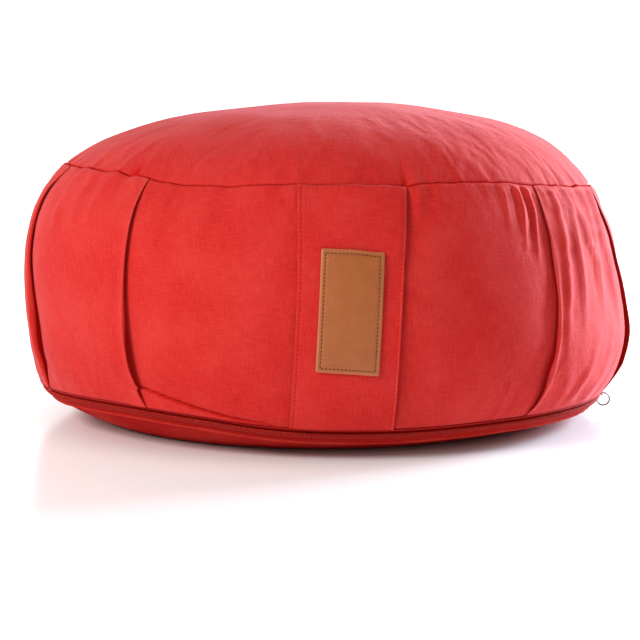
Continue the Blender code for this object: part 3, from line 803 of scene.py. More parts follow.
@dataclass(frozen=True)
class ClothRun:
    """A cloth simulation of a panel of the cover, which the filling's pressure spreads between its seams."""

    pressure: float = 4.0
    slack: float = 0.015
    frames: int = 20
    steps: int = 6
    bending: float = 0.3
    fine: float = 14 * MM
    cap: float = 0.42 * MM

    def run(self, name: str, points: Array, held: Array) -> Array:
        """Lets a closed round panel settle.

        Args:
            name: A name for the simulated mesh, which is removed afterwards.
            points: The panel's points, by row and column.
            held: Where the panel is sewn down, in the same order.

        Returns:
            How far each point moves out, less the smooth part of it: the puckers.
        """
        made = mesh_piece(name, points, grid_faces(*held.shape, closed=True))
        group = made.vertex_groups.new(name="held")
        group.add(np.flatnonzero(held.ravel()).tolist(), 1.0, "REPLACE")
        settle = made.modifiers.new("settle", "CLOTH").settings
        settle.quality = self.steps
        settle.vertex_group_mass = group.name
        settle.use_pressure = True
        settle.uniform_pressure_force = self.pressure
        settle.shrink_min = -self.slack
        settle.bending_stiffness = self.bending
        settle.effector_weights.gravity = 0.0
        normals = np.empty(points.size)
        made.data.vertices.foreach_get("normal", normals)
        for number in range(1, self.frames + 1):
            bpy.context.scene.frame_set(number)
        settled = made.evaluated_get(bpy.context.evaluated_depsgraph_get())
        moved = np.empty(points.size)
        settled.data.vertices.foreach_get("co", moved)
        moved = ((moved.reshape(-1, 3) - points.reshape(-1, 3)) * normals.reshape(-1, 3)).sum(axis=1)
        bpy.data.objects.remove(made)
        bpy.context.scene.frame_set(1)
        moved = moved.reshape(held.shape)
        spacing = [np.linalg.norm(np.diff(points, axis=axis), axis=2).mean() for axis in (0, 1)]
        puckers = moved - blurred(moved, self.fine / spacing[0], self.fine / spacing[1])
        log.info("%s: moved %.1f mm, puckers %.2f mm", name, np.abs(moved).max() / MM, puckers.std() / MM)
        return self.cap * np.tanh(puckers / self.cap)


def blurred(grid: Array, row_reach: float, column_reach: float) -> Array:
    """A grid that closes on itself along its rows, smoothed.

    Args:
        grid: The values.
        row_reach: The reach, in rows.
        column_reach: The reach, in columns.

    Returns:
        The smoothed values.
    """
    for axis, reach in ((0, row_reach), (1, column_reach)):
        offsets = np.arange(-int(2.5 * reach) - 1, int(2.5 * reach) + 2)
        weights = bell(offsets, reach * math.sqrt(2))
        margin = len(offsets) // 2
        margins = [(margin, margin) if k == axis else (0, 0) for k in (0, 1)]
        padded = np.pad(grid, margins, "wrap" if axis else "edge")
        grid = np.apply_along_axis(np.convolve, axis, padded, weights / weights.sum(), "valid")
    return grid


def sampled(grid: Array, azimuth: Any, share: Any) -> Array:
    """The values of a grid between its points.

    Args:
        grid: The values, by share from 0 to 1 and azimuth from 0 to 360.
        azimuth: The places' azimuths.
        share: The places' shares.

    Returns:
        The values at the places.
    """
    rows, columns = grid.shape
    across, up = np.asarray(azimuth) % 360 / 360 * columns, np.clip(share, 0, 1) * (rows - 1)
    left, low = across.astype(int), np.minimum(up.astype(int), rows - 2)
    s, t = across - left, up - low
    left, right = left % columns, (left + 1) % columns
    lower = grid[low, left] * (1 - s) + grid[low, right] * s
    upper = grid[low + 1, left] * (1 - s) + grid[low + 1, right] * s
    return lower * (1 - t) + upper * t


def mark_cloth(made: Piece, places: Array, wear: Array) -> None:
    """Gives a cloth's vertices their places along the weave and their painted shade and paleness.

    Args:
        made: The cloth.
        places: Two numbers a vertex, in metres.
        wear: One number a vertex, from -1, dark with painted shade, to 1, pale.
    """
    mesh = made.data
    flat = np.zeros((len(mesh.vertices), 3))
    flat[: len(places), :2] = places
    flat[len(places) :, :2] = places[-1]
    mesh.attributes.new(CLOTH_PLACE, "FLOAT_VECTOR", "POINT").data.foreach_set("vector", flat.ravel())
    worn_and_shaded = np.zeros(len(mesh.vertices))
    worn_and_shaded[: len(wear)] = wear
    mesh.attributes.new(WEAR_AND_SHADE, "FLOAT", "POINT").data.foreach_set("value", worn_and_shaded)


def paint(made: Piece, material: Material) -> None:
    """Gives a piece its one material."""
    made.data.materials.clear()
    made.data.materials.append(material)


def dress(made: Piece, material: Material, slot: str, *nodes: str) -> Piece:
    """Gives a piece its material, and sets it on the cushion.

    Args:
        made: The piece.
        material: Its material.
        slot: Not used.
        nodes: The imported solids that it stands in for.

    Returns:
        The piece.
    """
    paint(made, material)
    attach(made, BODY)
    if nodes:
        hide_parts(*nodes)
    return made


# ---- finishes ----


class Shade:
    """A shader socket that takes part in arithmetic: each operator adds a Math node."""

    def __init__(self, sheet: "ShaderSheet", socket: Any) -> None:
        """Wraps a socket of a material's node tree."""
        self.sheet, self.socket = sheet, socket

    def _math(self, operation: str, *values: Any) -> "Shade":
        """The result of a Math node on some values."""
        return self.sheet.node("ShaderNodeMath", {"operation": operation}, dict(enumerate(values)))

    def __add__(self, other: Any) -> "Shade":
        """self + other."""
        return self._math("ADD", self, other)

    def __sub__(self, other: Any) -> "Shade":
        """self - other."""
        return self._math("SUBTRACT", self, other)

    def __rsub__(self, other: Any) -> "Shade":
        """other - self."""
        return self._math("SUBTRACT", other, self)

    def __mul__(self, other: Any) -> "Shade":
        """self * other."""
        return self._math("MULTIPLY", self, other)

    __radd__, __rmul__ = __add__, __mul__

    def wave(self) -> "Shade":
        """The sine of the value."""
        return self._math("SINE", self)

    def between(self, low: float, high: float) -> "Shade":
        """0 at `low` and 1 at `high`, kept between them, rising evenly."""
        inputs = {"Value": self, "From Min": low, "From Max": high}
        return self.sheet.node("ShaderNodeMapRange", {"interpolation_type": "SMOOTHSTEP"}, inputs)


class ShaderSheet:
    """The node tree of one new material."""

    def __init__(self, name: str) -> None:
        """Makes the material, with its Principled BSDF.

        Args:
            name: The material's name.
        """
        self.material = bpy.data.materials.new(name)
        self.material.use_nodes = True
        self.tree = self.material.node_tree
        self.shader = self.tree.nodes["Principled BSDF"]

    def node(
        self, kind: str, settings: dict | None = None, inputs: dict | None = None, output: Any = 0
    ) -> Shade:
        """Adds a node.

        Args:
            kind: The node's type.
            settings: Its properties, which are set first.
            inputs: The values of its sockets, or what they are linked to, by name or number.
            output: The name or number of the socket that is used.

        Returns:
            That socket.
        """
        made = self.tree.nodes.new(kind)
        for name, value in (settings or {}).items():
            setattr(made, name, value)
        for name, value in (inputs or {}).items():
            self.feed(made.inputs[name], value)
        return Shade(self, made.outputs[output])

    def feed(self, socket: Any, value: Any) -> None:
        """Links a socket to a Shade, or sets it to a value.

        Args:
            socket: The socket.
            value: The Shade or the value.
        """
        if isinstance(value, Shade):
            self.tree.links.new(value.socket, socket)
        else:
            socket.default_value = colour(value) if socket.type == "RGBA" else value

    def attribute(self, name: str, output: str) -> Shade:
        """A value that the mesh carries."""
        return self.node("ShaderNodeAttribute", {"attribute_name": name}, output=output)

    def stretched(self, vector: Shade, factors: tuple[float, float, float]) -> Shade:
        """A vector with each of its parts multiplied."""
        return self.node("ShaderNodeVectorMath", {"operation": "MULTIPLY"}, {0: vector, 1: factors})

    def part(self, vector: Shade, axis: str) -> Shade:
        """One part of a vector: X, Y or Z."""
        return self.node("ShaderNodeSeparateXYZ", None, {0: vector}, axis)

    def noise(self, vector: Shade, scale: float, detail: float = 2.0, roughness: float = 0.5) -> Shade:
        """Cloudy noise from 0 to 1."""
        inputs = {"Vector": vector, "Scale": scale, "Detail": detail, "Roughness": roughness}
        return self.node("ShaderNodeTexNoise", None, inputs, "Fac")

    def blend(self, amount: Any, first: Any, second: Any) -> Shade:
        """A colour between two colours."""
        inputs = {"Factor": amount, 6: first, 7: second}
        return self.node("ShaderNodeMix", {"data_type": "RGBA"}, inputs, 2)

    def bump(self, height: Shade, distance: float, under: Shade | None = None) -> Shade:
        """A normal bumped by heights between 0 and 1, over another bump if there is one.

        Args:
            height: The heights.
            distance: How many metres a height of 1 stands for.
            under: The other bump.

        Returns:
            The normal.
        """
        inputs = {"Height": height, "Distance": distance, "Strength": 1.0}
        if under is not None:
            inputs["Normal"] = under
        return self.node("ShaderNodeBump", None, inputs, "Normal")

    def finish(self, inputs: dict) -> Material:
        """Feeds the Principled BSDF, and returns the material.

        Args:
            inputs: What each of its sockets is fed with, by name.

        Returns:
            The material.
        """
        for name, value in inputs.items():
            self.feed(self.shader.inputs[name], value)
        return self.material


def colour(value: Any) -> Any:
    """A colour socket's value: three numbers get a fourth."""
    return (*value, 1.0) if isinstance(value, tuple) and len(value) == 3 else value


@dataclass(frozen=True)
class Cotton:
    """A plain-woven cotton with slubs. Where painted shade darkens it, its sheen is left out and a faint red
    painted glow is added.
    """

    name: str = "red_cotton_weave"
    base: tuple[float, float, float] = (0.640, 0.026, 0.019)
    deep: tuple[float, float, float] = (0.530, 0.010, 0.010)
    pale: tuple[float, float, float] = (0.770, 0.075, 0.058)
    # The colour of painted shade.
    painted_shade: tuple[float, float, float] = (0.130, 0.001, 0.001)
    thread: float = 0.75 * MM
    slub_length: float = 9 * MM
    roughness: float = 0.80
    sheen: float = 0.25
    sheen_tint: tuple[float, float, float] = (1.0, 0.51, 0.55)
    bump: float = 0.16 * MM
    crinkle: float = 0.35 * MM
    specular: float = 0.16
    # A faint red painted glow, which is no lamp, added where painted shade lies.
    painted_glow: float = 0.07
    painted_glow_tint: tuple[float, float, float] = (1.0, 0.02, 0.015)

    def material(self) -> Material:
        """The material.

        Returns:
            The material.
        """
        sheet = ShaderSheet(self.name)
        place = sheet.attribute(CLOTH_PLACE, "Vector")
        worn_and_shaded = sheet.attribute(WEAR_AND_SHADE, "Fac")
        across, along = 1 / self.thread, 1 / self.slub_length
        warp = sheet.noise(sheet.stretched(place, (across, along, 1)), 1.0, 3.0, 0.6)
        weft = sheet.noise(sheet.stretched(place, (along, across, 1)), 1.0, 3.0, 0.6)
        clouds = sheet.noise(place, 28.0, 3.0)
        turn = math.pi / self.thread
        checks = (sheet.part(place, "X") * turn).wave() * (sheet.part(place, "Y") * turn).wave()
        slubs = warp.between(0.56, 0.78) + weft.between(0.58, 0.80) * 0.8
        height = warp * 0.5 + weft * 0.5 + checks * 0.22 + slubs * 0.35
        tone = sheet.blend((warp + weft - 0.45).between(0.2, 0.9), self.deep, self.base)
        tone = sheet.blend(clouds.between(0.35, 0.75) * 0.22, tone, self.pale)
        tone = sheet.blend(slubs * 0.14 + worn_and_shaded * 0.30, tone, self.pale)
        # Painted shade: the colour darkens towards the painted shade colour where the mesh's value is
        # negative.
        tone = sheet.blend(worn_and_shaded * -1, tone, self.painted_shade)
        crinkles = sheet.noise(place, 150.0, 2.0)
        normal = sheet.bump(height, self.bump, under=sheet.bump(crinkles, self.crinkle))
        # Where painted shade lies, a matt shader with a painted glow takes the place of the sheened one.
        bare = sheet.node("ShaderNodeBsdfDiffuse", None, {"Color": tone, "Normal": normal})
        painted_glow_shader = sheet.node("ShaderNodeEmission", None, {"Color": self.painted_glow_tint, "Strength": self.painted_glow})
        matt = sheet.node("ShaderNodeAddShader", None, {0: bare, 1: painted_glow_shader})
        fuzzy = Shade(sheet, sheet.shader.outputs[0])
        painted_shade_amount = (worn_and_shaded * -1).between(0.02, 0.2)
        surface = sheet.node("ShaderNodeMixShader", None, {0: painted_shade_amount, 1: fuzzy, 2: matt})
        sheet.feed(sheet.tree.nodes["Material Output"].inputs["Surface"], surface)
        return sheet.finish(
            {
                "Base Color": tone,
                "Roughness": self.roughness - slubs * 0.06,
                "Normal": normal,
                "Specular IOR Level": self.specular,
                "Sheen Weight": self.sheen,
                "Sheen Roughness": 0.38,
                "Sheen Tint": self.sheen_tint,
            }
        )


@dataclass(frozen=True)
class Tape:
    """The ribbed woven tape of a zip."""

    name: str = "ribbed_zip_tape"
    base: tuple[float, float, float] = (0.60, 0.012, 0.008)
    deep: tuple[float, float, float] = (0.36, 0.006, 0.004)
    rib: float = 0.55 * MM

    def material(self) -> Material:
        """The material.

        Returns:
            The material.
        """
        sheet = ShaderSheet(self.name)
        place = sheet.attribute(CLOTH_PLACE, "Vector")
        ribs = (sheet.part(place, "Y") * (2 * math.pi / self.rib)).wave() * 0.5 + 0.5
        fuzz = sheet.noise(sheet.stretched(place, (900, 900, 900)), 1.0, 2.0)
        return sheet.finish(
            {
                "Base Color": sheet.blend(ribs * 0.6 + fuzz * 0.3, self.deep, self.base),
                "Roughness": 0.72 + fuzz * 0.12,
                "Normal": sheet.bump(ribs + fuzz * 0.4, 0.12 * MM),
                "Specular IOR Level": 0.12,
            }
        )


@dataclass(frozen=True)
class Nylon:
    """The satin nylon of the zip's coil, or of a thread."""

    name: str
    base: tuple[float, float, float]
    deep: tuple[float, float, float]
    roughness: float = 0.38
    cell: float = 0.8 * MM
    specular: float = 0.18

    def material(self) -> Material:
        """The material.

        Returns:
            The material.
        """
        sheet = ShaderSheet(self.name)
        place = sheet.node("ShaderNodeTexCoord", None, None, "Object")
        uneven = sheet.noise(place, 1 / self.cell, 2.0)
        return sheet.finish(
            {
                "Base Color": sheet.blend(uneven.between(0.3, 0.7), self.deep, self.base),
                "Roughness": self.roughness + uneven * 0.2,
                "Normal": sheet.bump(uneven, 0.05 * MM),
                "Specular IOR Level": self.specular,
            }
        )


@dataclass(frozen=True)
class Steel:
    """The worn plated steel of the slider and its ring."""

    name: str = "plated_pull_steel"
    base: tuple[float, float, float] = (0.20, 0.19, 0.17)
    dull: tuple[float, float, float] = (0.10, 0.095, 0.085)

    def material(self) -> Material:
        """The material.

        Returns:
            The material.
        """
        sheet = ShaderSheet(self.name)
        place = sheet.node("ShaderNodeTexCoord", None, None, "Object")
        stains = sheet.noise(place, 900.0, 3.0)
        scratches = sheet.noise(sheet.stretched(place, (4000, 400, 4000)), 1.0, 2.0)
        return sheet.finish(
            {
                "Base Color": sheet.blend(stains.between(0.35, 0.7), self.base, self.dull),
                "Metallic": 1.0,
                "Roughness": stains * 0.25 + scratches * 0.2 + 0.12,
                "Normal": sheet.bump(scratches, 0.02 * MM),
            }
        )


@dataclass(frozen=True)
class Leather:
    """Tan leather with a fine grain, paler where its cut edge is worn."""

    name: str = "tan_grain_leather"
    base: tuple[float, float, float] = (0.430, 0.115, 0.020)
    deep: tuple[float, float, float] = (0.370, 0.090, 0.014)
    edge: tuple[float, float, float] = (0.600, 0.190, 0.085)
    grain: float = 0.75 * MM

    def material(self) -> Material:
        """The material.

        Returns:
            The material.
        """
        sheet = ShaderSheet(self.name)
        place = sheet.attribute(CLOTH_PLACE, "Vector")
        worn_and_shaded = sheet.attribute(WEAR_AND_SHADE, "Fac")
        cells = sheet.node(
            "ShaderNodeTexVoronoi",
            {"feature": "DISTANCE_TO_EDGE"},
            {"Vector": place, "Scale": 1 / self.grain},
            "Distance",
        )
        pebble = cells.between(0.0, 0.35)
        clouds = sheet.noise(place, 70.0, 4.0, 0.6)
        rubs = sheet.noise(sheet.stretched(place, (60, 200, 60)), 1.0, 4.0, 0.65)
        tone = sheet.blend(clouds.between(0.2, 0.8), self.deep, self.base)
        tone = sheet.blend(rubs.between(0.55, 0.8) * 0.25 + worn_and_shaded * 0.85, tone, self.edge)
        tone = sheet.blend((1 - pebble) * 0.28, tone, self.deep)
        return sheet.finish(
            {
                "Base Color": tone,
                "Roughness": clouds * 0.2 + 0.38 + worn_and_shaded * 0.15,
                "Normal": sheet.bump(pebble + clouds * 0.5, 0.09 * MM),
                "Specular IOR Level": 0.42,
                "Coat Weight": 0.08,
            }
        )


@dataclass(frozen=True)
class StudioFloor:
    """A pale, slightly glossy table top with a painted glow, which grows away from the cushion."""

    name: str = "studio_floor"
    base: tuple[float, float, float] = (0.90, 0.90, 0.90)
    near_glow: float = 0.24
    near_reach: tuple[float, float] = (0.15, 0.24)
    far_glow: float = 0.42
    far_reach: tuple[float, float] = (0.35, 1.10)

    def material(self) -> Material:
        """The material.

        Returns:
            The material.
        """
        sheet = ShaderSheet(self.name)
        place = sheet.node("ShaderNodeTexCoord", None, None, "Object")
        haze = sheet.noise(place, 3.0, 2.0)
        away = sheet.node("ShaderNodeVectorMath", {"operation": "LENGTH"}, {0: place}, "Value")
        glow = away.between(*self.near_reach) * self.near_glow + away.between(*self.far_reach) * self.far_glow
        return sheet.finish(
            {
                "Base Color": self.base,
                "Roughness": haze * 0.08 + 0.16,
                "Specular IOR Level": 0.22,
                "Emission Color": sheet.blend(glow, (0.0, 0.0, 0.0), (1.0, 1.0, 1.0)),
                "Emission Strength": 1.0,
            }
        )


# ---- the pieces ----


@dataclass
class SideBand:
    """The filled cushion, whose outside is the pleated side band."""

    rows: int = 84
    front_columns: int = 128
    panel_columns: int = 46
    row_crowding: float = 0.55
    crowding: float = 0.62
    strip_edges: tuple[tuple[float, float], ...] = ((0.37, 0.41), (0.585, 0.645))
    fine_step: float = 0.0037
    sim_rows: int = 44
    sim_columns: int = 480
    bed_depth: float = 1.95 * MM
    underlap: float = 6 * MM
    nose_out: float = 0.6 * MM
    widest_opening: float = 0.88
    full_lift: float = 3 * MM
    worn_reach: float = 2.5 * MM
    base_shares: tuple[float, ...] = (1.0, 0.7, 0.45, 0.25, 0.1, 0.0)
    seam_depths: tuple[float, ...] = (1.3 * MM, 1.8 * MM)
    crown_shares: tuple[float, ...] = (0.0, 0.03, 0.08, 0.15, 0.25, 0.4, 0.6, 0.8)
    fill: float = 0.9
    opening_by_share: Curve = Curve(
        ((0, 0.25 * MM), (0.04, 1.6 * MM), (0.10, 3.6 * MM), (0.18, 5.2 * MM), (0.27, 5.0 * MM),
         (0.35, 3.2 * MM), (0.42, 2.7 * MM), (0.60, 2.3 * MM), (0.82, 2.3 * MM), (0.95, 2.0 * MM),
         (1, 0.5 * MM))
    )
    # Painted shade in a pleat's slot at each share, before the pleat's own amount.
    shade_by_share: Curve = Curve(
        ((0, 0.30), (0.08, 0.50), (0.15, 0.90), (0.38, 0.90), (0.46, 0.28), (0.70, 0.18), (1, 0.12))
    )

    def shares(self) -> Array:
        """The rows' shares, closer together at both edges."""
        return crowded(np.linspace(0, 1, self.rows), self.row_crowding)

    def slot(self, front: Array, flap: Array, share: Array, pleat: Pleat) -> list[Array]:
        """The columns of points round the slot under a flap, from the cloth in front to the flap.

        Args:
            front: The last points of the cloth in front, by row.
            flap: The first points of the flap, by row.
            share: The rows' shares.
            pleat: The pleat.

        Returns:
            The columns, each with one point a row.
        """
        out = unit(front * (1, 1, 0))
        under = np.stack((-out[:, 1], out[:, 0], out[:, 2]), axis=1) * math.copysign(1, pleat.azimuth)
        lift = ((flap - front) * out).sum(axis=1)
        gape = pleat.gape
        if pleat.shut < 1:
            gape = gape * (1 - smooth_step(share, pleat.shut - 0.05, pleat.shut))
        opening = np.minimum(self.opening_by_share(share) * gape, self.widest_opening * lift)
        half = (lift - opening) / 2
        deep = self.underlap * np.minimum(1, lift / self.full_lift)
        nose = np.minimum(self.nose_out, half)

        def column(along: Array, rise: Array) -> Array:
            """The points `along` under the flap from the cloth in front, and `rise` above it."""
            return front + under * along[:, None] + out * rise[:, None]

        profile = [(0.3 * deep, -0.1 * opening), (0.65 * deep, -0.1 * opening), (deep, 0 * deep)]
        profile += [(deep, 0.12 * opening), (0.6 * deep, 0.5 * opening), (0.25 * deep, 0.85 * opening)]
        for turn in (-70, -35, 0, 35, 70):
            angle = math.radians(turn)
            profile.append((-nose * math.cos(angle), opening + half * (1 + math.sin(angle))))
        return [column(along, rise) for along, rise in profile]

    def puckers(self) -> Array:
        """The puckers of the band, held at both seams, along the folds and along the strip's edges.

        Returns:
            How far each point of the simulated grid moves out.
        """
        azimuth = np.linspace(0, 360, self.sim_columns, endpoint=False)[None, :]
        share = np.linspace(0, 1, self.sim_rows)[:, None]
        held = np.broadcast_to((share == 0) | (share == 1), (self.sim_rows, self.sim_columns)).copy()
        near = 180 / self.sim_columns
        for pleat in PLEATS:
            held |= np.abs(wrapped(azimuth - FORM.fold_azimuth(pleat, share))) < near
        for side in (-1, 1):
            edge = strip_middle(share) + side * np.degrees(strip_half(share) / FORM.radius_by_share(share))
            held |= np.abs(wrapped(azimuth - edge)) < near
        points = at_azimuth(azimuth, *FORM.band(azimuth, share, False))
        return ClothRun().run("band_in_simulation", points, held)

    def columns(self) -> tuple[Array, Array]:
        """All the band's points by row and column, and the painted shade and paleness of each.

        Returns:
            The points, and their painted shade and paleness.
        """
        share = self.shares()
        puckers = self.puckers()
        even_folds = [FORM.fold_azimuth(pleat, share) for pleat in PLEATS]
        points, wear = [], []
        for k, pleat in enumerate(PLEATS):
            start = even_folds[k]
            end = even_folds[k + 1] if k + 1 < len(PLEATS) else even_folds[0] + 360
            count = self.front_columns if start[0] < 0 < end[0] else self.panel_columns
            across = crowded(np.linspace(0.0008, 0.9992, count), self.crowding)
            if count == self.front_columns:
                near_strip = [np.arange(*edge, self.fine_step) for edge in self.strip_edges]
                across = np.unique(np.round(np.concatenate((across, *near_strip)), 5))
            azimuth = start[:, None] + (end - start)[:, None] * across[None, :]
            radius, height = FORM.band(azimuth, share[:, None])
            shown = 1 - FORM.covered(azimuth, share[:, None])
            up = np.broadcast_to(share[:, None], azimuth.shape)
            radius = radius + shown * sampled(puckers, azimuth, up)
            panel = at_azimuth(azimuth, radius, height)
            near_start = np.radians(azimuth - start[:, None]) * FORM.zip_radius
            near_end = np.radians(end[:, None] - azimuth) * FORM.zip_radius
            from_fold = near_start if pleat.azimuth > 0 else near_end
            flap_side = pleat.azimuth > 0 or PLEATS[(k + 1) % len(PLEATS)].azimuth < 0
            points.append(panel)
            worn_and_shaded = np.exp(-from_fold / self.worn_reach) if flap_side else np.zeros_like(from_fold)
            # Pale fold edges, less the painted shade under the strip's edge and along the tuck.
            wear.append(worn_and_shaded - FORM.painted_shade(azimuth, share[:, None]))
        for k in range(len(PLEATS)):
            following = (k + 1) % len(PLEATS)
            pleat = PLEATS[following]
            before, after = points[k][:, -1], points[following][:, 0]
            rightward = pleat.azimuth > 0
            front, flap = (before, after) if rightward else (after, before)
            slot = self.slot(front, flap, share, pleat)
            # Painted shade inside each slot, and on the fold edge too where the pleat's edge is negative.
            depth = self.shade_by_share(share) * pleat.shade
            edge = [np.full_like(share, pleat.edge * part) for part in (0.6, 1, 1, 0.9)]
            worn_and_shaded = [-0.7 * depth, *[-depth] * 6, *edge]
            if not rightward:
                slot, worn_and_shaded = slot[::-1], worn_and_shaded[::-1]
            wear[k] = np.concatenate((wear[k], np.stack(worn_and_shaded, axis=1)), axis=1)
            points[k] = np.concatenate((points[k], np.stack(slot, axis=1)), axis=1)
        return np.concatenate(points, axis=1), np.concatenate(wear, axis=1)

    def build(self, cotton: Material) -> Piece:
        """Builds the filled cushion.

        Args:
            cotton: Its material.

        Returns:
            The piece.
        """
        band, worn_and_shaded = self.columns()
        azimuth = np.degrees(np.arctan2(band[0, :, 0], -band[0, :, 1]))
        upper = np.degrees(np.arctan2(band[-1, :, 0], -band[-1, :, 1]))
        rings = [FORM.base_point(azimuth, share, self.bed_depth) for share in self.base_shares]
        floor = FORM.channel_floor
        for side, reach, depth in ((-1, floor, 1.0), (1, floor, 1.0), (1, 0.95, 0.45)):
            along = side * reach * FORM.channel_half(azimuth)
            rings.append(FORM.zip_point(azimuth, along, -depth * FORM.channel_depth))
        below = len(rings)
        rings += list(band)
        rings += [FORM.crown_point(upper, 0.0, depth) for depth in self.seam_depths]
        rings += [FORM.crown_point(upper, share, self.bed_depth) for share in self.crown_shares]
        floor_middle = np.array((0, 0, self.bed_depth))
        crown_middle = np.array((FORM.crown_shift, 0, FORM.crown_height - self.bed_depth))
        points, faces = closed_rings(rings, floor_middle, crown_middle)
        made = mesh_piece("pleated_cushion", points, faces)
        count = len(azimuth)
        around = travelled(band[len(band) // 2])
        up = np.concatenate((np.zeros(below), self.shares(), np.ones(len(rings) - below - len(band))))
        places = stacked(around[None, :], (up * FORM.band_height)[:, None])
        wear = np.zeros((len(rings), count))
        wear[below : below + len(band)] = worn_and_shaded
        # Painted shade along the top seam's groove and on the crown bed inside.
        wear[below + len(band) - 1 :] = SEAM_PAINTED_SHADE
        mark_cloth(made, places.reshape(-1, 2), wear.ravel())
        dress(made, cotton, "red_cotton", "cushion_body")
        return made


@dataclass
class RoundPanel:
    """A round panel of the cover, laid over the filling: its thickness and how finely it is built."""

    thickness: float = 1.5 * MM
    rim_share: float = 0.003
    columns: int = 720
    rows: int = 40
    sim_columns: int = 360
    sim_rows: int = 36
    sim_reach: float = 0.7
    pucker_cap: float = 0.22 * MM
    swell: float = 0.5 * MM
    crumple: float = 0.08 * MM
    seam_roll: float = 0.5 * MM
    seam_roll_width: float = 0.6 * MM
    deepest_tuck: float = 2.2 * MM
    # The hem's fold and the ditch above it: height, place from the seam, and width.
    hem_fold: tuple[float, float, float] = (1.50 * MM, 0.8 * MM, 0.8 * MM)
    hem_ditch: tuple[float, float, float] = (-1.20 * MM, 3.0 * MM, 0.9 * MM)
    # Paler on the hem's fold, and painted shade in the ditch above it: amount, place from the seam, and
    # width.
    hem_paling: tuple[float, float, float] = (0.6, 0.7 * MM, 0.7 * MM)
    ditch_painted_shade: tuple[float, float, float] = (-0.9, 2.9 * MM, 0.9 * MM)
    bottom_reach: float = 46 * MM
    bottom_runs: tuple[tuple[float, float, int], ...] = ((0, 0.14, 18), (0.18, 0.26, 3), (0.32, 1, 12))
    gather_unit: float = 50 * MM

    def shares(self) -> Array:
        """The rings' shares, from the rim in, closer together at the rim."""
        return np.linspace(0, 1, self.rows)[:-1] ** 1.7

    def closed_sheet(self, name: str, outer: list, inner: list, middle: tuple) -> Piece:
        """A round sheet from the rings of its two faces.

        Args:
            name: The piece's name.
            outer: The outer face's rings, from the rim in.
            inner: The inner face's rings, from the rim in.
            middle: The middles of the outer and the inner face.

        Returns:
            The piece, whose faces point away from the cloth.
        """
        points, faces = closed_rings([*inner[::-1], *outer], middle[1], middle[0])
        flip = middle[0][2] < middle[1][2]
        return mesh_piece(name, points, [face[::-1] for face in faces] if flip else faces)

    def puckers(self) -> Array:
        """The puckers of the top panel, held at its seam.

        Returns:
            How far each point of the simulated grid moves out.
        """
        azimuth = np.linspace(0, 360, self.sim_columns, endpoint=False)[None, :]
        share = np.linspace(0, self.sim_reach, self.sim_rows)[:, None]
        held = np.broadcast_to((share == 0) | (share == self.sim_reach), (self.sim_rows, self.sim_columns))
        settled = ClothRun(cap=self.pucker_cap)
        return settled.run("top_in_simulation", FORM.crown_point(azimuth, share), held)

    def build_top(self, cotton: Material) -> Piece:
        """The crowned top panel, drawn into small gathers by its seam.

        Args:
            cotton: The material of its cloth.

        Returns:
            The panel.
        """
        azimuth = np.linspace(-180, 180, self.columns, endpoint=False)
        puckers = self.puckers()
        outer, wear = [], []
        for share in self.shares():
            plain = FORM.crown_point(azimuth, share)
            # Painted shade along the seam at the rim.
            worn_and_shaded = np.full_like(azimuth, SEAM_PAINTED_SHADE if share == 0 else 0.0)
            from_seam = np.full_like(azimuth, share * FORM.top_rim_radius)
            rise = gather_relief(PANEL_GATHERS, 8, azimuth, from_seam, -3.0)
            for middle, width, depth, reach in PANEL_TUCKS:
                drawn = bell(wrapped(azimuth - middle), width) * np.exp(-from_seam / reach)
                rise = rise - depth * drawn
                # Painted shade in the deeper tucks.
                worn_and_shaded = worn_and_shaded - 0.6 * max(depth / self.deepest_tuck, 0) ** 2 * drawn
            wear.append(worn_and_shaded)
            uneven = self.swell * FORM.swell(plain) + self.crumple * FORM.crumple(plain)
            rise = rise + smooth_step(share, 0, 0.12) * uneven
            fading = 1 - smooth_step(share, 0.5 * self.sim_reach, self.sim_reach)
            rise = rise + fading * sampled(puckers, azimuth, np.full_like(azimuth, share / self.sim_reach))
            rolled = -self.seam_roll * bell(from_seam, self.seam_roll_width)
            outer.append(FORM.crown_point(azimuth, max(share, self.rim_share), -(rise + rolled)))
        rim = [FORM.crown_point(azimuth, 0.0016, 1.2 * MM)]
        inner_shares = [max(share, self.rim_share) for share in self.shares()]
        inner = [FORM.crown_point(azimuth, share, self.thickness) for share in inner_shares]
        middle = FORM.crown_point(0, 1.0), FORM.crown_point(0, 1.0, self.thickness)
        made = self.closed_sheet("top_panel_cloth", rim + outer, inner, middle)
        # Painted shade on the rim ring at the seam.
        below = [np.zeros(self.columns * len(inner)), np.full(self.columns, SEAM_PAINTED_SHADE)]
        mark_cloth(made, np.array([v.co[:2] for v in made.data.vertices]), np.concatenate(below + wear))
        dress(made, cotton, "red_cotton", "top_panel")
        return made

    def build_bottom(self, cotton: Material) -> Piece:
        """The bottom panel, flat on the floor, with its hem turned up along the zip.

        Args:
            cotton: The material of its cloth.

        Returns:
            The panel.
        """
        azimuth = np.linspace(-180, 180, self.columns, endpoint=False)
        outer, wear = [], [np.zeros_like(azimuth)]
        shares = np.concatenate([np.linspace(*run) for run in self.bottom_runs])
        for share in shares:
            from_seam = share * self.bottom_reach
            hem = ridge(from_seam, *self.hem_fold) + ridge(from_seam, *self.hem_ditch)
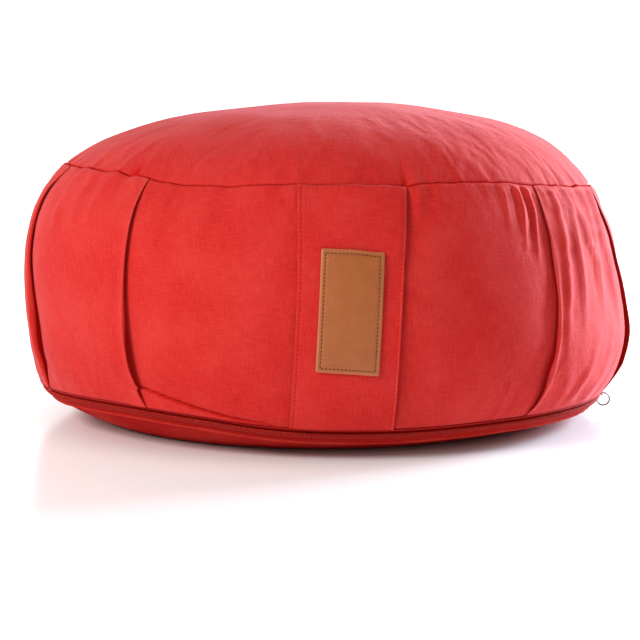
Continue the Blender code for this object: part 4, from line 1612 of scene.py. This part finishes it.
            # Paler on the hem's fold, and painted shade in its ditch.
            worn_and_shaded = ridge(from_seam, *self.hem_paling) + ridge(from_seam, *self.ditch_painted_shade)
            wear.append(np.full_like(azimuth, worn_and_shaded))
            away = np.full_like(azimuth, from_seam / self.gather_unit)
            rise = gather_relief(ZIP_GATHERS, 9, azimuth, away, 1.0) * (1 - share)
            lift = (hem + 0.3 * rise) * smooth_step(1 - share, 0, 0.2)
            outer.append(FORM.base_point(azimuth, share, -lift))
        rim = [FORM.base_point(azimuth, -0.016, 0.75 * MM)]
        inner = [FORM.base_point(azimuth, share, self.thickness) for share in shares]
        for reach in (0.7, 0.35):
            outer.append(FORM.base_point(azimuth, 1.0) * (reach, reach, 1))
            inner.append(FORM.base_point(azimuth, 1.0, self.thickness) * (reach, reach, 1))
        middle = np.zeros(3), np.array((0, 0, self.thickness))
        made = self.closed_sheet("bottom_panel_cloth", rim + outer, inner, middle)
        below = [np.zeros(self.columns * len(inner))]
        mark_cloth(made, np.array([v.co[:2] for v in made.data.vertices]), np.concatenate(below + wear))
        dress(made, cotton, "red_cotton", "bottom_panel")
        return made


class TapeSide(Enum):
    """On which side of the zip's centre line a tape lies."""

    UPPER = 1
    LOWER = -1


@dataclass
class ZipFastener:
    """The closed coil zip in the lower seam: its tapes, teeth, cords, slider and ring."""

    sections: int = 280
    tape_inner: float = 0.35 * MM
    tape_outer: float = 5.4 * MM
    tape_low: float = -1.9 * MM
    tape_high: float = -1.0 * MM
    tape_climb: float = 1.5 * MM
    climb_start: float = 2.2 * MM
    tape_bulge: float = 0.05 * MM
    pitch: float = 1.35 * MM
    wire: float = 0.34 * MM
    wire_sides: int = 5
    cord_radius: float = 0.62 * MM
    cord_sides: int = 8
    cord_along: float = 1.05 * MM
    cord_out: float = 0.30 * MM
    tooth_slant: float = 0.32 * MM
    # Half a turn of the coil, in millimetres along and out from the centre line.
    tooth_path: tuple[tuple[float, float], ...] = (
        (1.95, -0.30), (2.0, 0.55), (1.35, 1.22), (0.25, 1.30), (-0.50, 0.85), (-0.60, 0.15)
    )

    def build_tape(self, side: TapeSide, tape: Material) -> Piece:
        """One tape, from beside the centre line to under the cloth.

        Args:
            side: Which tape it is.
            tape: The material of its weave.

        Returns:
            The tape.
        """
        azimuth = np.linspace(FORM.zip_start, FORM.zip_end, self.sections)[:, None]
        along = side.value * np.linspace(self.tape_inner, self.tape_outer, 7)[None, :]
        if side is TapeSide.LOWER:
            along = along[:, ::-1]
        climb = self.tape_climb * smooth_step(np.abs(along), self.climb_start, self.tape_outer)
        outer = FORM.zip_point(azimuth, along, self.tape_high + climb)
        inner = FORM.zip_point(azimuth, along, self.tape_low + climb)
        points, faces = sheet_between(outer, inner, self.tape_bulge)
        made = mesh_piece(f"zip_tape_{side.name.lower()}_weave", points, faces)
        length = np.radians(azimuth - FORM.zip_start) * FORM.zip_radius
        places = stacked(length, along).reshape(-1, 2)
        mark_cloth(made, np.concatenate((places, places)), np.zeros(1))
        return dress(made, tape, "zip_tape", f"zip_tape_{side.name.lower()}")

    def build_teeth(self, nylon: Material) -> Piece:
        """The two rows of coil teeth, one loop each, closed over the centre line.

        Args:
            nylon: Their material.

        Returns:
            The teeth, as one piece.
        """
        length = math.radians(FORM.zip_end - FORM.zip_start) * FORM.zip_radius
        count = int(length / self.pitch)
        path = np.array(self.tooth_path) * MM
        slant = np.linspace(-0.5, 0.5, len(path)) * self.tooth_slant
        heading = unit(np.gradient(path, axis=0))
        normal = np.stack((-heading[:, 1], heading[:, 0]), axis=1)
        angles = turns(self.wire_sides)
        aside = slant[:, None] + self.wire * np.cos(angles)[None, :]
        along = path[:, :1] + normal[:, :1] * self.wire * np.sin(angles)[None, :]
        out = path[:, 1:] + normal[:, 1:] * self.wire * np.sin(angles)[None, :]
        ring_faces = grid_faces(len(path), self.wire_sides, closed=True)
        ring_faces.append(tuple(range(self.wire_sides))[::-1])
        last = (len(path) - 1) * self.wire_sides
        ring_faces.append(tuple(range(last, last + self.wire_sides)))
        points, faces = [], []
        for side in TapeSide:
            offset = 0.25 * side.value * self.pitch
            middles = (np.arange(count) + 0.5) * self.pitch + offset
            for middle in middles:
                azimuth = FORM.zip_start + np.degrees((middle + aside) / FORM.zip_radius)
                tooth = FORM.zip_point(azimuth, side.value * along, out).reshape(-1, 3)
                first = len(points) * len(tooth)
                turned = ring_faces if side is TapeSide.LOWER else [face[::-1] for face in ring_faces]
                faces += [tuple(first + number for number in face) for face in turned]
                points.append(tooth)
        made = mesh_piece("zip_coil_teeth", np.concatenate(points), faces)
        return dress(made, nylon, "zip_coil", "zip_coil")

    def build_cords(self, nylon: Material) -> Piece:
        """The two cords inside the coils.

        Args:
            nylon: Their material.

        Returns:
            The cords, as one piece.
        """
        azimuth = np.linspace(FORM.zip_start + 0.2, FORM.zip_end - 0.2, self.sections)[:, None]
        sides = self.cord_sides
        angles = turns(sides)[None, :]
        points, faces = [], []
        for side in TapeSide:
            along = side.value * self.cord_along + self.cord_radius * np.cos(angles)
            out = self.cord_out + self.cord_radius * np.sin(angles)
            first = sum(len(part) for part in points)
            faces += grid_faces(self.sections, sides, first, closed=True)
            end = first + (self.sections - 1) * sides
            faces += [tuple(range(first, first + sides))[::-1], tuple(range(end, end + sides))]
            points.append(FORM.zip_point(azimuth, along, out).reshape(-1, 3))
        made = mesh_piece("zip_coil_cords", np.concatenate(points), faces)
        return dress(made, nylon, "zip_coil")

    def polish_pull(self, slider: Material, ring: Material) -> None:
        """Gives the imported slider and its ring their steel."""
        for node, steel in (("zip_slider", slider), ("zip_pull_ring", ring)):
            paint(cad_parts[node], steel)


class StitchLine(NamedTuple):
    """A row of stitches: its points, the way out of the cloth at each, and the length of a stitch."""

    points: Array
    outward: Array
    length: float


@dataclass
class Stitching:
    """Sewn thread: each stitch is a short, slightly arched length of it."""

    radius: float = 0.28 * MM
    gap_share: float = 0.28
    sides: int = 6
    # Along a stitch, its height over the cloth and its thickness, as shares of the radius.
    arch: tuple[float, ...] = (-0.9, 0.15, 0.4, 0.15, -0.9)
    taper: tuple[float, ...] = (0.55, 0.95, 1.0, 0.95, 0.55)

    def build(self, name: str, lines: Sequence[StitchLine], thread: Material, slot: str) -> Piece:
        """Builds rows of stitches as one piece.

        Args:
            name: The piece's name.
            lines: The rows.
            thread: The material.
            slot: The name of a material slot, passed on to dress, which does not use it.

        Returns:
            The piece.
        """
        points, faces = [], []
        for line in lines:
            travel = travelled(line.points)
            count = max(1, round(travel[-1] / line.length))
            for k in range(count):
                reach = (k + self.gap_share / 2) / count, (k + 1 - self.gap_share / 2) / count
                self._add_stitch(line, travel, reach, points, faces)
        made = mesh_piece(name, np.concatenate(points), faces)
        return dress(made, thread, slot)

    def _add_stitch(
        self, line: StitchLine, travel: Array, reach: tuple[float, float], points: list, faces: list
    ) -> None:
        """Adds one stitch between two shares of a line's length.

        Args:
            line: The row of stitches.
            travel: How far along the row each of its points is.
            reach: The two shares.
            points: The vertices so far, which it adds to.
            faces: The faces so far, which it adds to.
        """
        sections, sides = len(self.arch), self.sides
        places = np.linspace(*reach, sections) * travel[-1]
        middle = np.stack([np.interp(places, travel, line.points[:, axis]) for axis in range(3)], axis=1)
        outward = np.stack([np.interp(places, travel, line.outward[:, axis]) for axis in range(3)], axis=1)
        rise = np.array(self.arch) * self.radius
        middle = middle + outward * rise[:, None]
        heading = unit(np.gradient(middle, axis=0))
        aside = unit(np.cross(heading, outward))
        up = np.cross(aside, heading)
        angles = turns(sides)[None, :, None]
        thick = np.array(self.taper) * self.radius
        around = aside[:, None] * np.cos(angles) + up[:, None] * np.sin(angles)
        first = len(points) * sections * sides
        points.append((middle[:, None] + around * thick[:, None, None]).reshape(-1, 3))
        faces += [face[::-1] for face in grid_faces(sections, sides, first, closed=True)]
        last = first + (sections - 1) * sides
        faces += [tuple(range(first, first + sides)), tuple(range(last, last + sides))[::-1]]


@dataclass
class FrontStrip:
    """The doubled cloth strip sewn over the front of the band, from the zip to the top seam."""

    width: float = 62 * MM
    thickness: float = 1.8 * MM
    gap: float = 0.3 * MM
    ends: tuple[float, float] = (0.004, 0.996)
    rows: int = 96
    columns: int = 48
    stitch_inset: float = 1.7 * MM
    stitch_length: float = 2.6 * MM
    column_crowding: float = 0.28
    # What the sewing does to the cloth: each height with its width.
    ditch: tuple[float, float] = (0.4 * MM, 0.8 * MM)
    left_lift: tuple[float, float] = (0.1 * MM, 1.6 * MM)
    right_lift: tuple[float, float] = (0.8 * MM, 1.6 * MM)
    right_press: tuple[float, float] = (0.5 * MM, 1.4 * MM)
    under_lift: tuple[float, float] = (0.6 * MM, 1.8 * MM)
    top_roll: tuple[float, float] = (0.7 * MM, 0.7 * MM)
    pale_edge_width: float = 0.9 * MM
    edge_bulge: float = 0.5 * MM
    swell: float = 0.30 * MM

    def place(self, across: Any, share: Any) -> Array:
        """The azimuths of places across the strip, from -1 at its left edge to 1 at its right."""
        half = np.degrees(strip_half(share) / FORM.radius_by_share(share))
        return strip_middle(share) + half * across

    def rise(self, across: Array, share: Array) -> Array:
        """How far the strip's outer face stands up from its plain thickness.

        Args:
            across: The places across the strip, from -1 to 1.
            share: The shares.

        Returns:
            The heights, in metres.
        """
        from_left = (across + 1) * self.width / 2
        from_right = (1 - across) * self.width / 2
        inset, loose = self.stitch_inset, strip_loose(share)
        depth, width = self.ditch
        ditch = depth * (bell(from_left - inset, width) + 0.7 * bell(from_right - inset, width))
        lifted = loose * hump(from_right, self.right_lift) + hump(from_left, self.left_lift)
        pressed = (1 - loose) * hump(from_right, self.right_press)
        azimuth = self.place(across, share)
        gathers = gather_relief(TOP_GATHERS, 5, azimuth, 1 - share, 1.5)
        points = FORM.band_point(azimuth, share)
        rolled = hump((1 - share) * FORM.band_height, self.top_roll)
        return lifted - pressed - rolled - ditch + 0.7 * gathers + self.swell * FORM.swell(points * 1.6)

    def surface(self, across: Any, share: Any, out: float = 0.0) -> Array:
        """Points `out` above the strip's outer face.

        Args:
            across: The places across the strip, from -1 to 1.
            share: The shares.
            out: The distance.

        Returns:
            The points.
        """
        across, share = np.broadcast_arrays(np.asarray(across, float), np.asarray(share, float))
        over = self.gap + self.thickness + self.rise(across, share) + out
        return FORM.band_point(self.place(across, share), share, over)

    def build(self, cotton: Material) -> Piece:
        """Builds the strip.

        Args:
            cotton: The material of its cloth.

        Returns:
            The strip.
        """
        even = np.linspace(-1, 1, self.columns)
        across = (even + self.column_crowding * np.sin(np.pi * even) / np.pi)[None, :]
        share = np.linspace(*self.ends, self.rows)[:, None]
        outer = self.surface(across, share)
        lifted = hump((1 - across) * self.width / 2, self.under_lift) * strip_loose(share)
        inner = FORM.band_point(self.place(across, share), share, self.gap + lifted)
        points, faces = sheet_between(outer, inner, self.edge_bulge)
        made = mesh_piece("front_strip_cloth", points, faces)
        places = stacked(across * self.width / 2, share * FORM.band_height).reshape(-1, 2)
        edge = bell((1 - np.abs(across)) * self.width / 2, self.pale_edge_width) * np.ones_like(share)
        # Paler along both edges, the right one much more, and painted shade on the inner face and the rim.
        wear = np.full(len(made.data.vertices), -0.3)
        wear[: edge.size] = edge.ravel() * np.where(across > 0, 1.0, 0.2).repeat(self.rows, axis=0).ravel()
        mark_cloth(made, np.concatenate((places, places)), wear)
        dress(made, cotton, "red_cotton", "front_strip")
        return made

    def stitch_lines(self) -> list[StitchLine]:
        """The rows of stitches along both edges.

        Returns:
            The left row and the right row.
        """
        share = np.linspace(self.ends[0] + 0.01, self.ends[1] - 0.01, 120)
        lines = []
        for side in (-1, 1):
            across = np.full_like(share, side * (1 - 2 * self.stitch_inset / self.width))
            points = self.surface(across, share)
            outward = self.surface(across, share, MM) - points
            lines.append(StitchLine(points, unit(outward), self.stitch_length))
        return lines


@dataclass
class LeatherLabel:
    """The bare tan label sewn on the strip."""

    width: float = 37 * MM
    height: float = 72 * MM
    middle: float = 92 * MM
    turn: float = math.radians(3.2)
    thickness: float = 1.8 * MM
    over_strip: float = 0.2 * MM
    columns: int = 40
    rows: int = 72
    stitch_inset: float = 2.4 * MM
    stitch_length: float = 2.3 * MM
    corner: float = 0.7 * MM
    crowding: float = 0.10
    ditch: tuple[float, float] = (0.38 * MM, 0.75 * MM)
    edge_roll: tuple[float, float] = (0.55 * MM, 0.7 * MM)
    pillow: float = 0.30 * MM
    pillow_reach: tuple[float, float] = (2 * MM, 12 * MM)
    unevenness: float = 0.10 * MM
    pale_edge_width: float = 0.9 * MM
    edge_bulge: float = 0.25 * MM
    stitch_sink: float = 0.28 * MM

    def surface(self, strip: FrontStrip, across: Any, up: Any, out: Any) -> Array:
        """Points on the label.

        Args:
            strip: The strip that it is sewn on.
            across: How far right of the label's middle, in metres.
            up: How far above its middle, in metres.
            out: How far above the strip.

        Returns:
            The points.
        """
        across, up, out = np.broadcast_arrays(across, up, out)
        turned_across = across * math.cos(self.turn) + up * math.sin(self.turn)
        turned_up = up * math.cos(self.turn) - across * math.sin(self.turn)
        low, high = FORM.band(0, 0, False)[1], FORM.band(0, 1, False)[1]
        share = (self.middle + turned_up - low) / (high - low)
        azimuth = np.degrees(turned_across / FORM.band(0, share, False)[0])
        return FORM.band_point(azimuth, share, strip.gap + strip.thickness + self.over_strip + out)

    def build(self, strip: FrontStrip, leather: Material) -> Piece:
        """Builds the label on the strip.

        Args:
            strip: The strip that it is sewn on.
            leather: Its material.

        Returns:
            The label.
        """
        v, u = np.meshgrid(np.linspace(-1, 1, self.rows), np.linspace(-1, 1, self.columns), indexing="ij")
        u, v = (part + self.crowding * np.sin(np.pi * part) / np.pi for part in (u, v))
        across, up = u * self.width / 2, v * self.height / 2
        beyond_across = np.maximum(np.abs(across) - (self.width / 2 - self.corner), 0)
        beyond_up = np.maximum(np.abs(up) - (self.height / 2 - self.corner), 0)
        reach = np.hypot(beyond_across, beyond_up)
        inwards = np.where(reach > self.corner, self.corner / np.maximum(reach, 1e-9), 1)
        across = np.sign(across) * (np.abs(across) - beyond_across * (1 - inwards))
        up = np.sign(up) * (np.abs(up) - beyond_up * (1 - inwards))
        edge = np.minimum(self.width / 2 - np.abs(across), self.height / 2 - np.abs(up))
        pressed = hump(edge - self.stitch_inset, self.ditch) + hump(edge, self.edge_roll)
        pillow = self.pillow * smooth_step(edge, *self.pillow_reach)
        uneven = self.unevenness * FORM.crumple(stacked(across, up, 0.0))
        outer = self.surface(strip, across, up, self.thickness - pressed + pillow + uneven)
        inner = self.surface(strip, across, up, 0.0)
        points, faces = sheet_between(outer, inner, self.edge_bulge)
        made = mesh_piece("label_leather", points, faces)
        places = stacked(across, up).reshape(-1, 2)
        worn_and_shaded = np.concatenate((bell(edge, self.pale_edge_width).ravel(), np.ones(edge.size)))
        mark_cloth(made, np.concatenate((places, places)), worn_and_shaded)
        dress(made, leather, "tan_leather", "leather_label")
        return made

    def stitch_lines(self, strip: FrontStrip) -> list[StitchLine]:
        """The stitches round the label's border.

        Args:
            strip: The strip that the label is sewn on.

        Returns:
            The four rows.
        """
        half_width, half_height = self.width / 2 - self.stitch_inset, self.height / 2 - self.stitch_inset
        corners = [(-1, -1), (1, -1), (1, 1), (-1, 1), (-1, -1)]
        lines = []
        for start, end in zip(corners, corners[1:]):
            t = np.linspace(0, 1, 60)
            across = half_width * (start[0] + (end[0] - start[0]) * t)
            up = half_height * (start[1] + (end[1] - start[1]) * t)
            points = self.surface(strip, across, up, self.thickness - self.stitch_sink)
            outward = self.surface(strip, across, up, self.thickness + MM) - points
            lines.append(StitchLine(points, unit(outward), self.stitch_length))
        return lines


# ---- the studio ----


class SoftLight(NamedTuple):
    """A square soft light: where it stands, its side, its power and its colour."""

    name: str
    place: tuple[float, float, float]
    side: float
    power: float
    tint: tuple[float, float, float]


@dataclass
class Studio:
    """The pale floor and backdrop, the soft lights and the camera."""

    lens: float = 100.1
    azimuth: float = -4.0
    camera_place: tuple[float, float, float] = (-3.46 * MM, -1.25, 0.2086)
    pitch: float = 0.1155
    sensor: float = 36.0
    floor_half: float = 7.0
    sweep_radius: float = 0.8
    sweep_steps: int = 12
    backdrop_distance: float = 3.2
    backdrop_height: float = 4.0
    ambient: float = 0.30
    light_aim: tuple[float, float, float] = (0, 0, 0.1)
    view_transform: str = "Standard"
    lights: tuple[SoftLight, ...] = (
        SoftLight("left_front", (-1.8, -1.3, 1.4), 1.0, 50, (1.0, 0.985, 0.96)),
        SoftLight("right_back", (1.12, 0.50, 0.43), 0.45, 44, (0.68, 0.84, 1.0)),
    )

    def build_floor(self) -> None:
        """The floor, which sweeps up into the backdrop behind the cushion."""
        radius, back = self.sweep_radius, self.backdrop_distance
        profile = [(-self.floor_half, 0.0), (back - radius, 0.0)]
        for step in range(1, self.sweep_steps + 1):
            angle = math.pi / 2 * step / self.sweep_steps
            profile.append((back - radius + radius * math.sin(angle), radius - radius * math.cos(angle)))
        profile.append((back, self.backdrop_height))
        sides = np.array((-self.floor_half, self.floor_half))
        points = np.array([[(x, y, z) for x in sides] for y, z in profile])
        floor = mesh_piece("studio_sweep", points, grid_faces(len(profile), 2))
        floor.data.materials.append(StudioFloor().material())

    def build_lights(self) -> None:
        """The soft lights and the even light of the room."""
        world = bpy.data.worlds.new("studio_room")
        bpy.context.scene.world = world
        world.use_nodes = True
        background = world.node_tree.nodes["Background"]
        background.inputs["Color"].default_value = (1, 1, 1, 1)
        background.inputs["Strength"].default_value = self.ambient
        bpy.context.scene.view_settings.view_transform = self.view_transform
        for light in self.lights:
            data = bpy.data.lights.new(light.name, "AREA")
            data.size, data.energy, data.color = light.side, light.power, light.tint
            made = linked(light.name, data)
            made.location = light.place
            aim = Vector(self.light_aim) - made.location
            made.rotation_euler = aim.to_track_quat("-Z", "Y").to_euler()

    def build_camera(self) -> None:
        """The camera at the photograph's viewing angle."""
        data = bpy.data.cameras.new("photo_camera")
        data.lens, data.sensor_width = self.lens, self.sensor
        camera = linked("photo_camera", data)
        camera.matrix_world = (
            Matrix.Rotation(math.radians(self.azimuth), 4, "Z")
            @ Matrix.Translation(self.camera_place)
            @ Matrix.Rotation(math.pi / 2 - self.pitch, 4, "X")
        )
        bpy.context.scene.camera = camera


# ---- the script ----


def main() -> None:
    """Builds every piece of the cushion and its studio."""
    logging.basicConfig(level=logging.INFO, format="%(name)s: %(message)s")
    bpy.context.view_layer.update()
    cotton = Cotton().material()
    # The bottom panel's cloth is a copy of the cotton in painted shade: darker, without sheen, and with a
    # weaker painted glow.
    painted_shade_cotton = Cotton("red_cotton_painted_shade_underside", (0.52, 0.009, 0.008), (0.36, 0.004, 0.004), (0.82, 0.120, 0.080))
    underside = replace(painted_shade_cotton, sheen=0.0, specular=0.04, painted_glow=0.01).material()
    zip_fastener = ZipFastener()
    tape = Tape().material()
    tapes = [zip_fastener.build_tape(side, tape) for side in TapeSide]
    panel = RoundPanel()
    made = [SideBand().build(cotton), panel.build_top(cotton), panel.build_bottom(underside)]
    coil = Nylon("coil_nylon", (0.56, 0.028, 0.016), (0.36, 0.010, 0.007), specular=0.14).material()
    made += tapes + [zip_fastener.build_teeth(coil), zip_fastener.build_cords(coil)]
    tarnished = Steel("tarnished_slider_steel", (0.10, 0.05, 0.045), (0.05, 0.02, 0.018))
    zip_fastener.polish_pull(tarnished.material(), Steel().material())
    strip, label = FrontStrip(), LeatherLabel()
    made += [strip.build(cotton), label.build(strip, Leather().material())]
    red = Nylon("red_thread", (0.56, 0.012, 0.010), (0.44, 0.007, 0.006), 0.8, specular=0.05).material()
    brown = Nylon("brown_thread", (0.13, 0.045, 0.018), (0.08, 0.026, 0.012), 0.6).material()
    made.append(Stitching().build("strip_stitches", strip.stitch_lines(), red, "red_cotton"))
    made.append(Stitching().build("label_stitches", label.stitch_lines(strip), brown, "tan_leather"))
    for piece in made:
        log.info("%s: %d faces", piece.name, len(piece.data.polygons))
    studio = Studio()
    studio.build_floor()
    studio.build_lights()
    studio.build_camera()


if __name__ == "__main__":
    main()
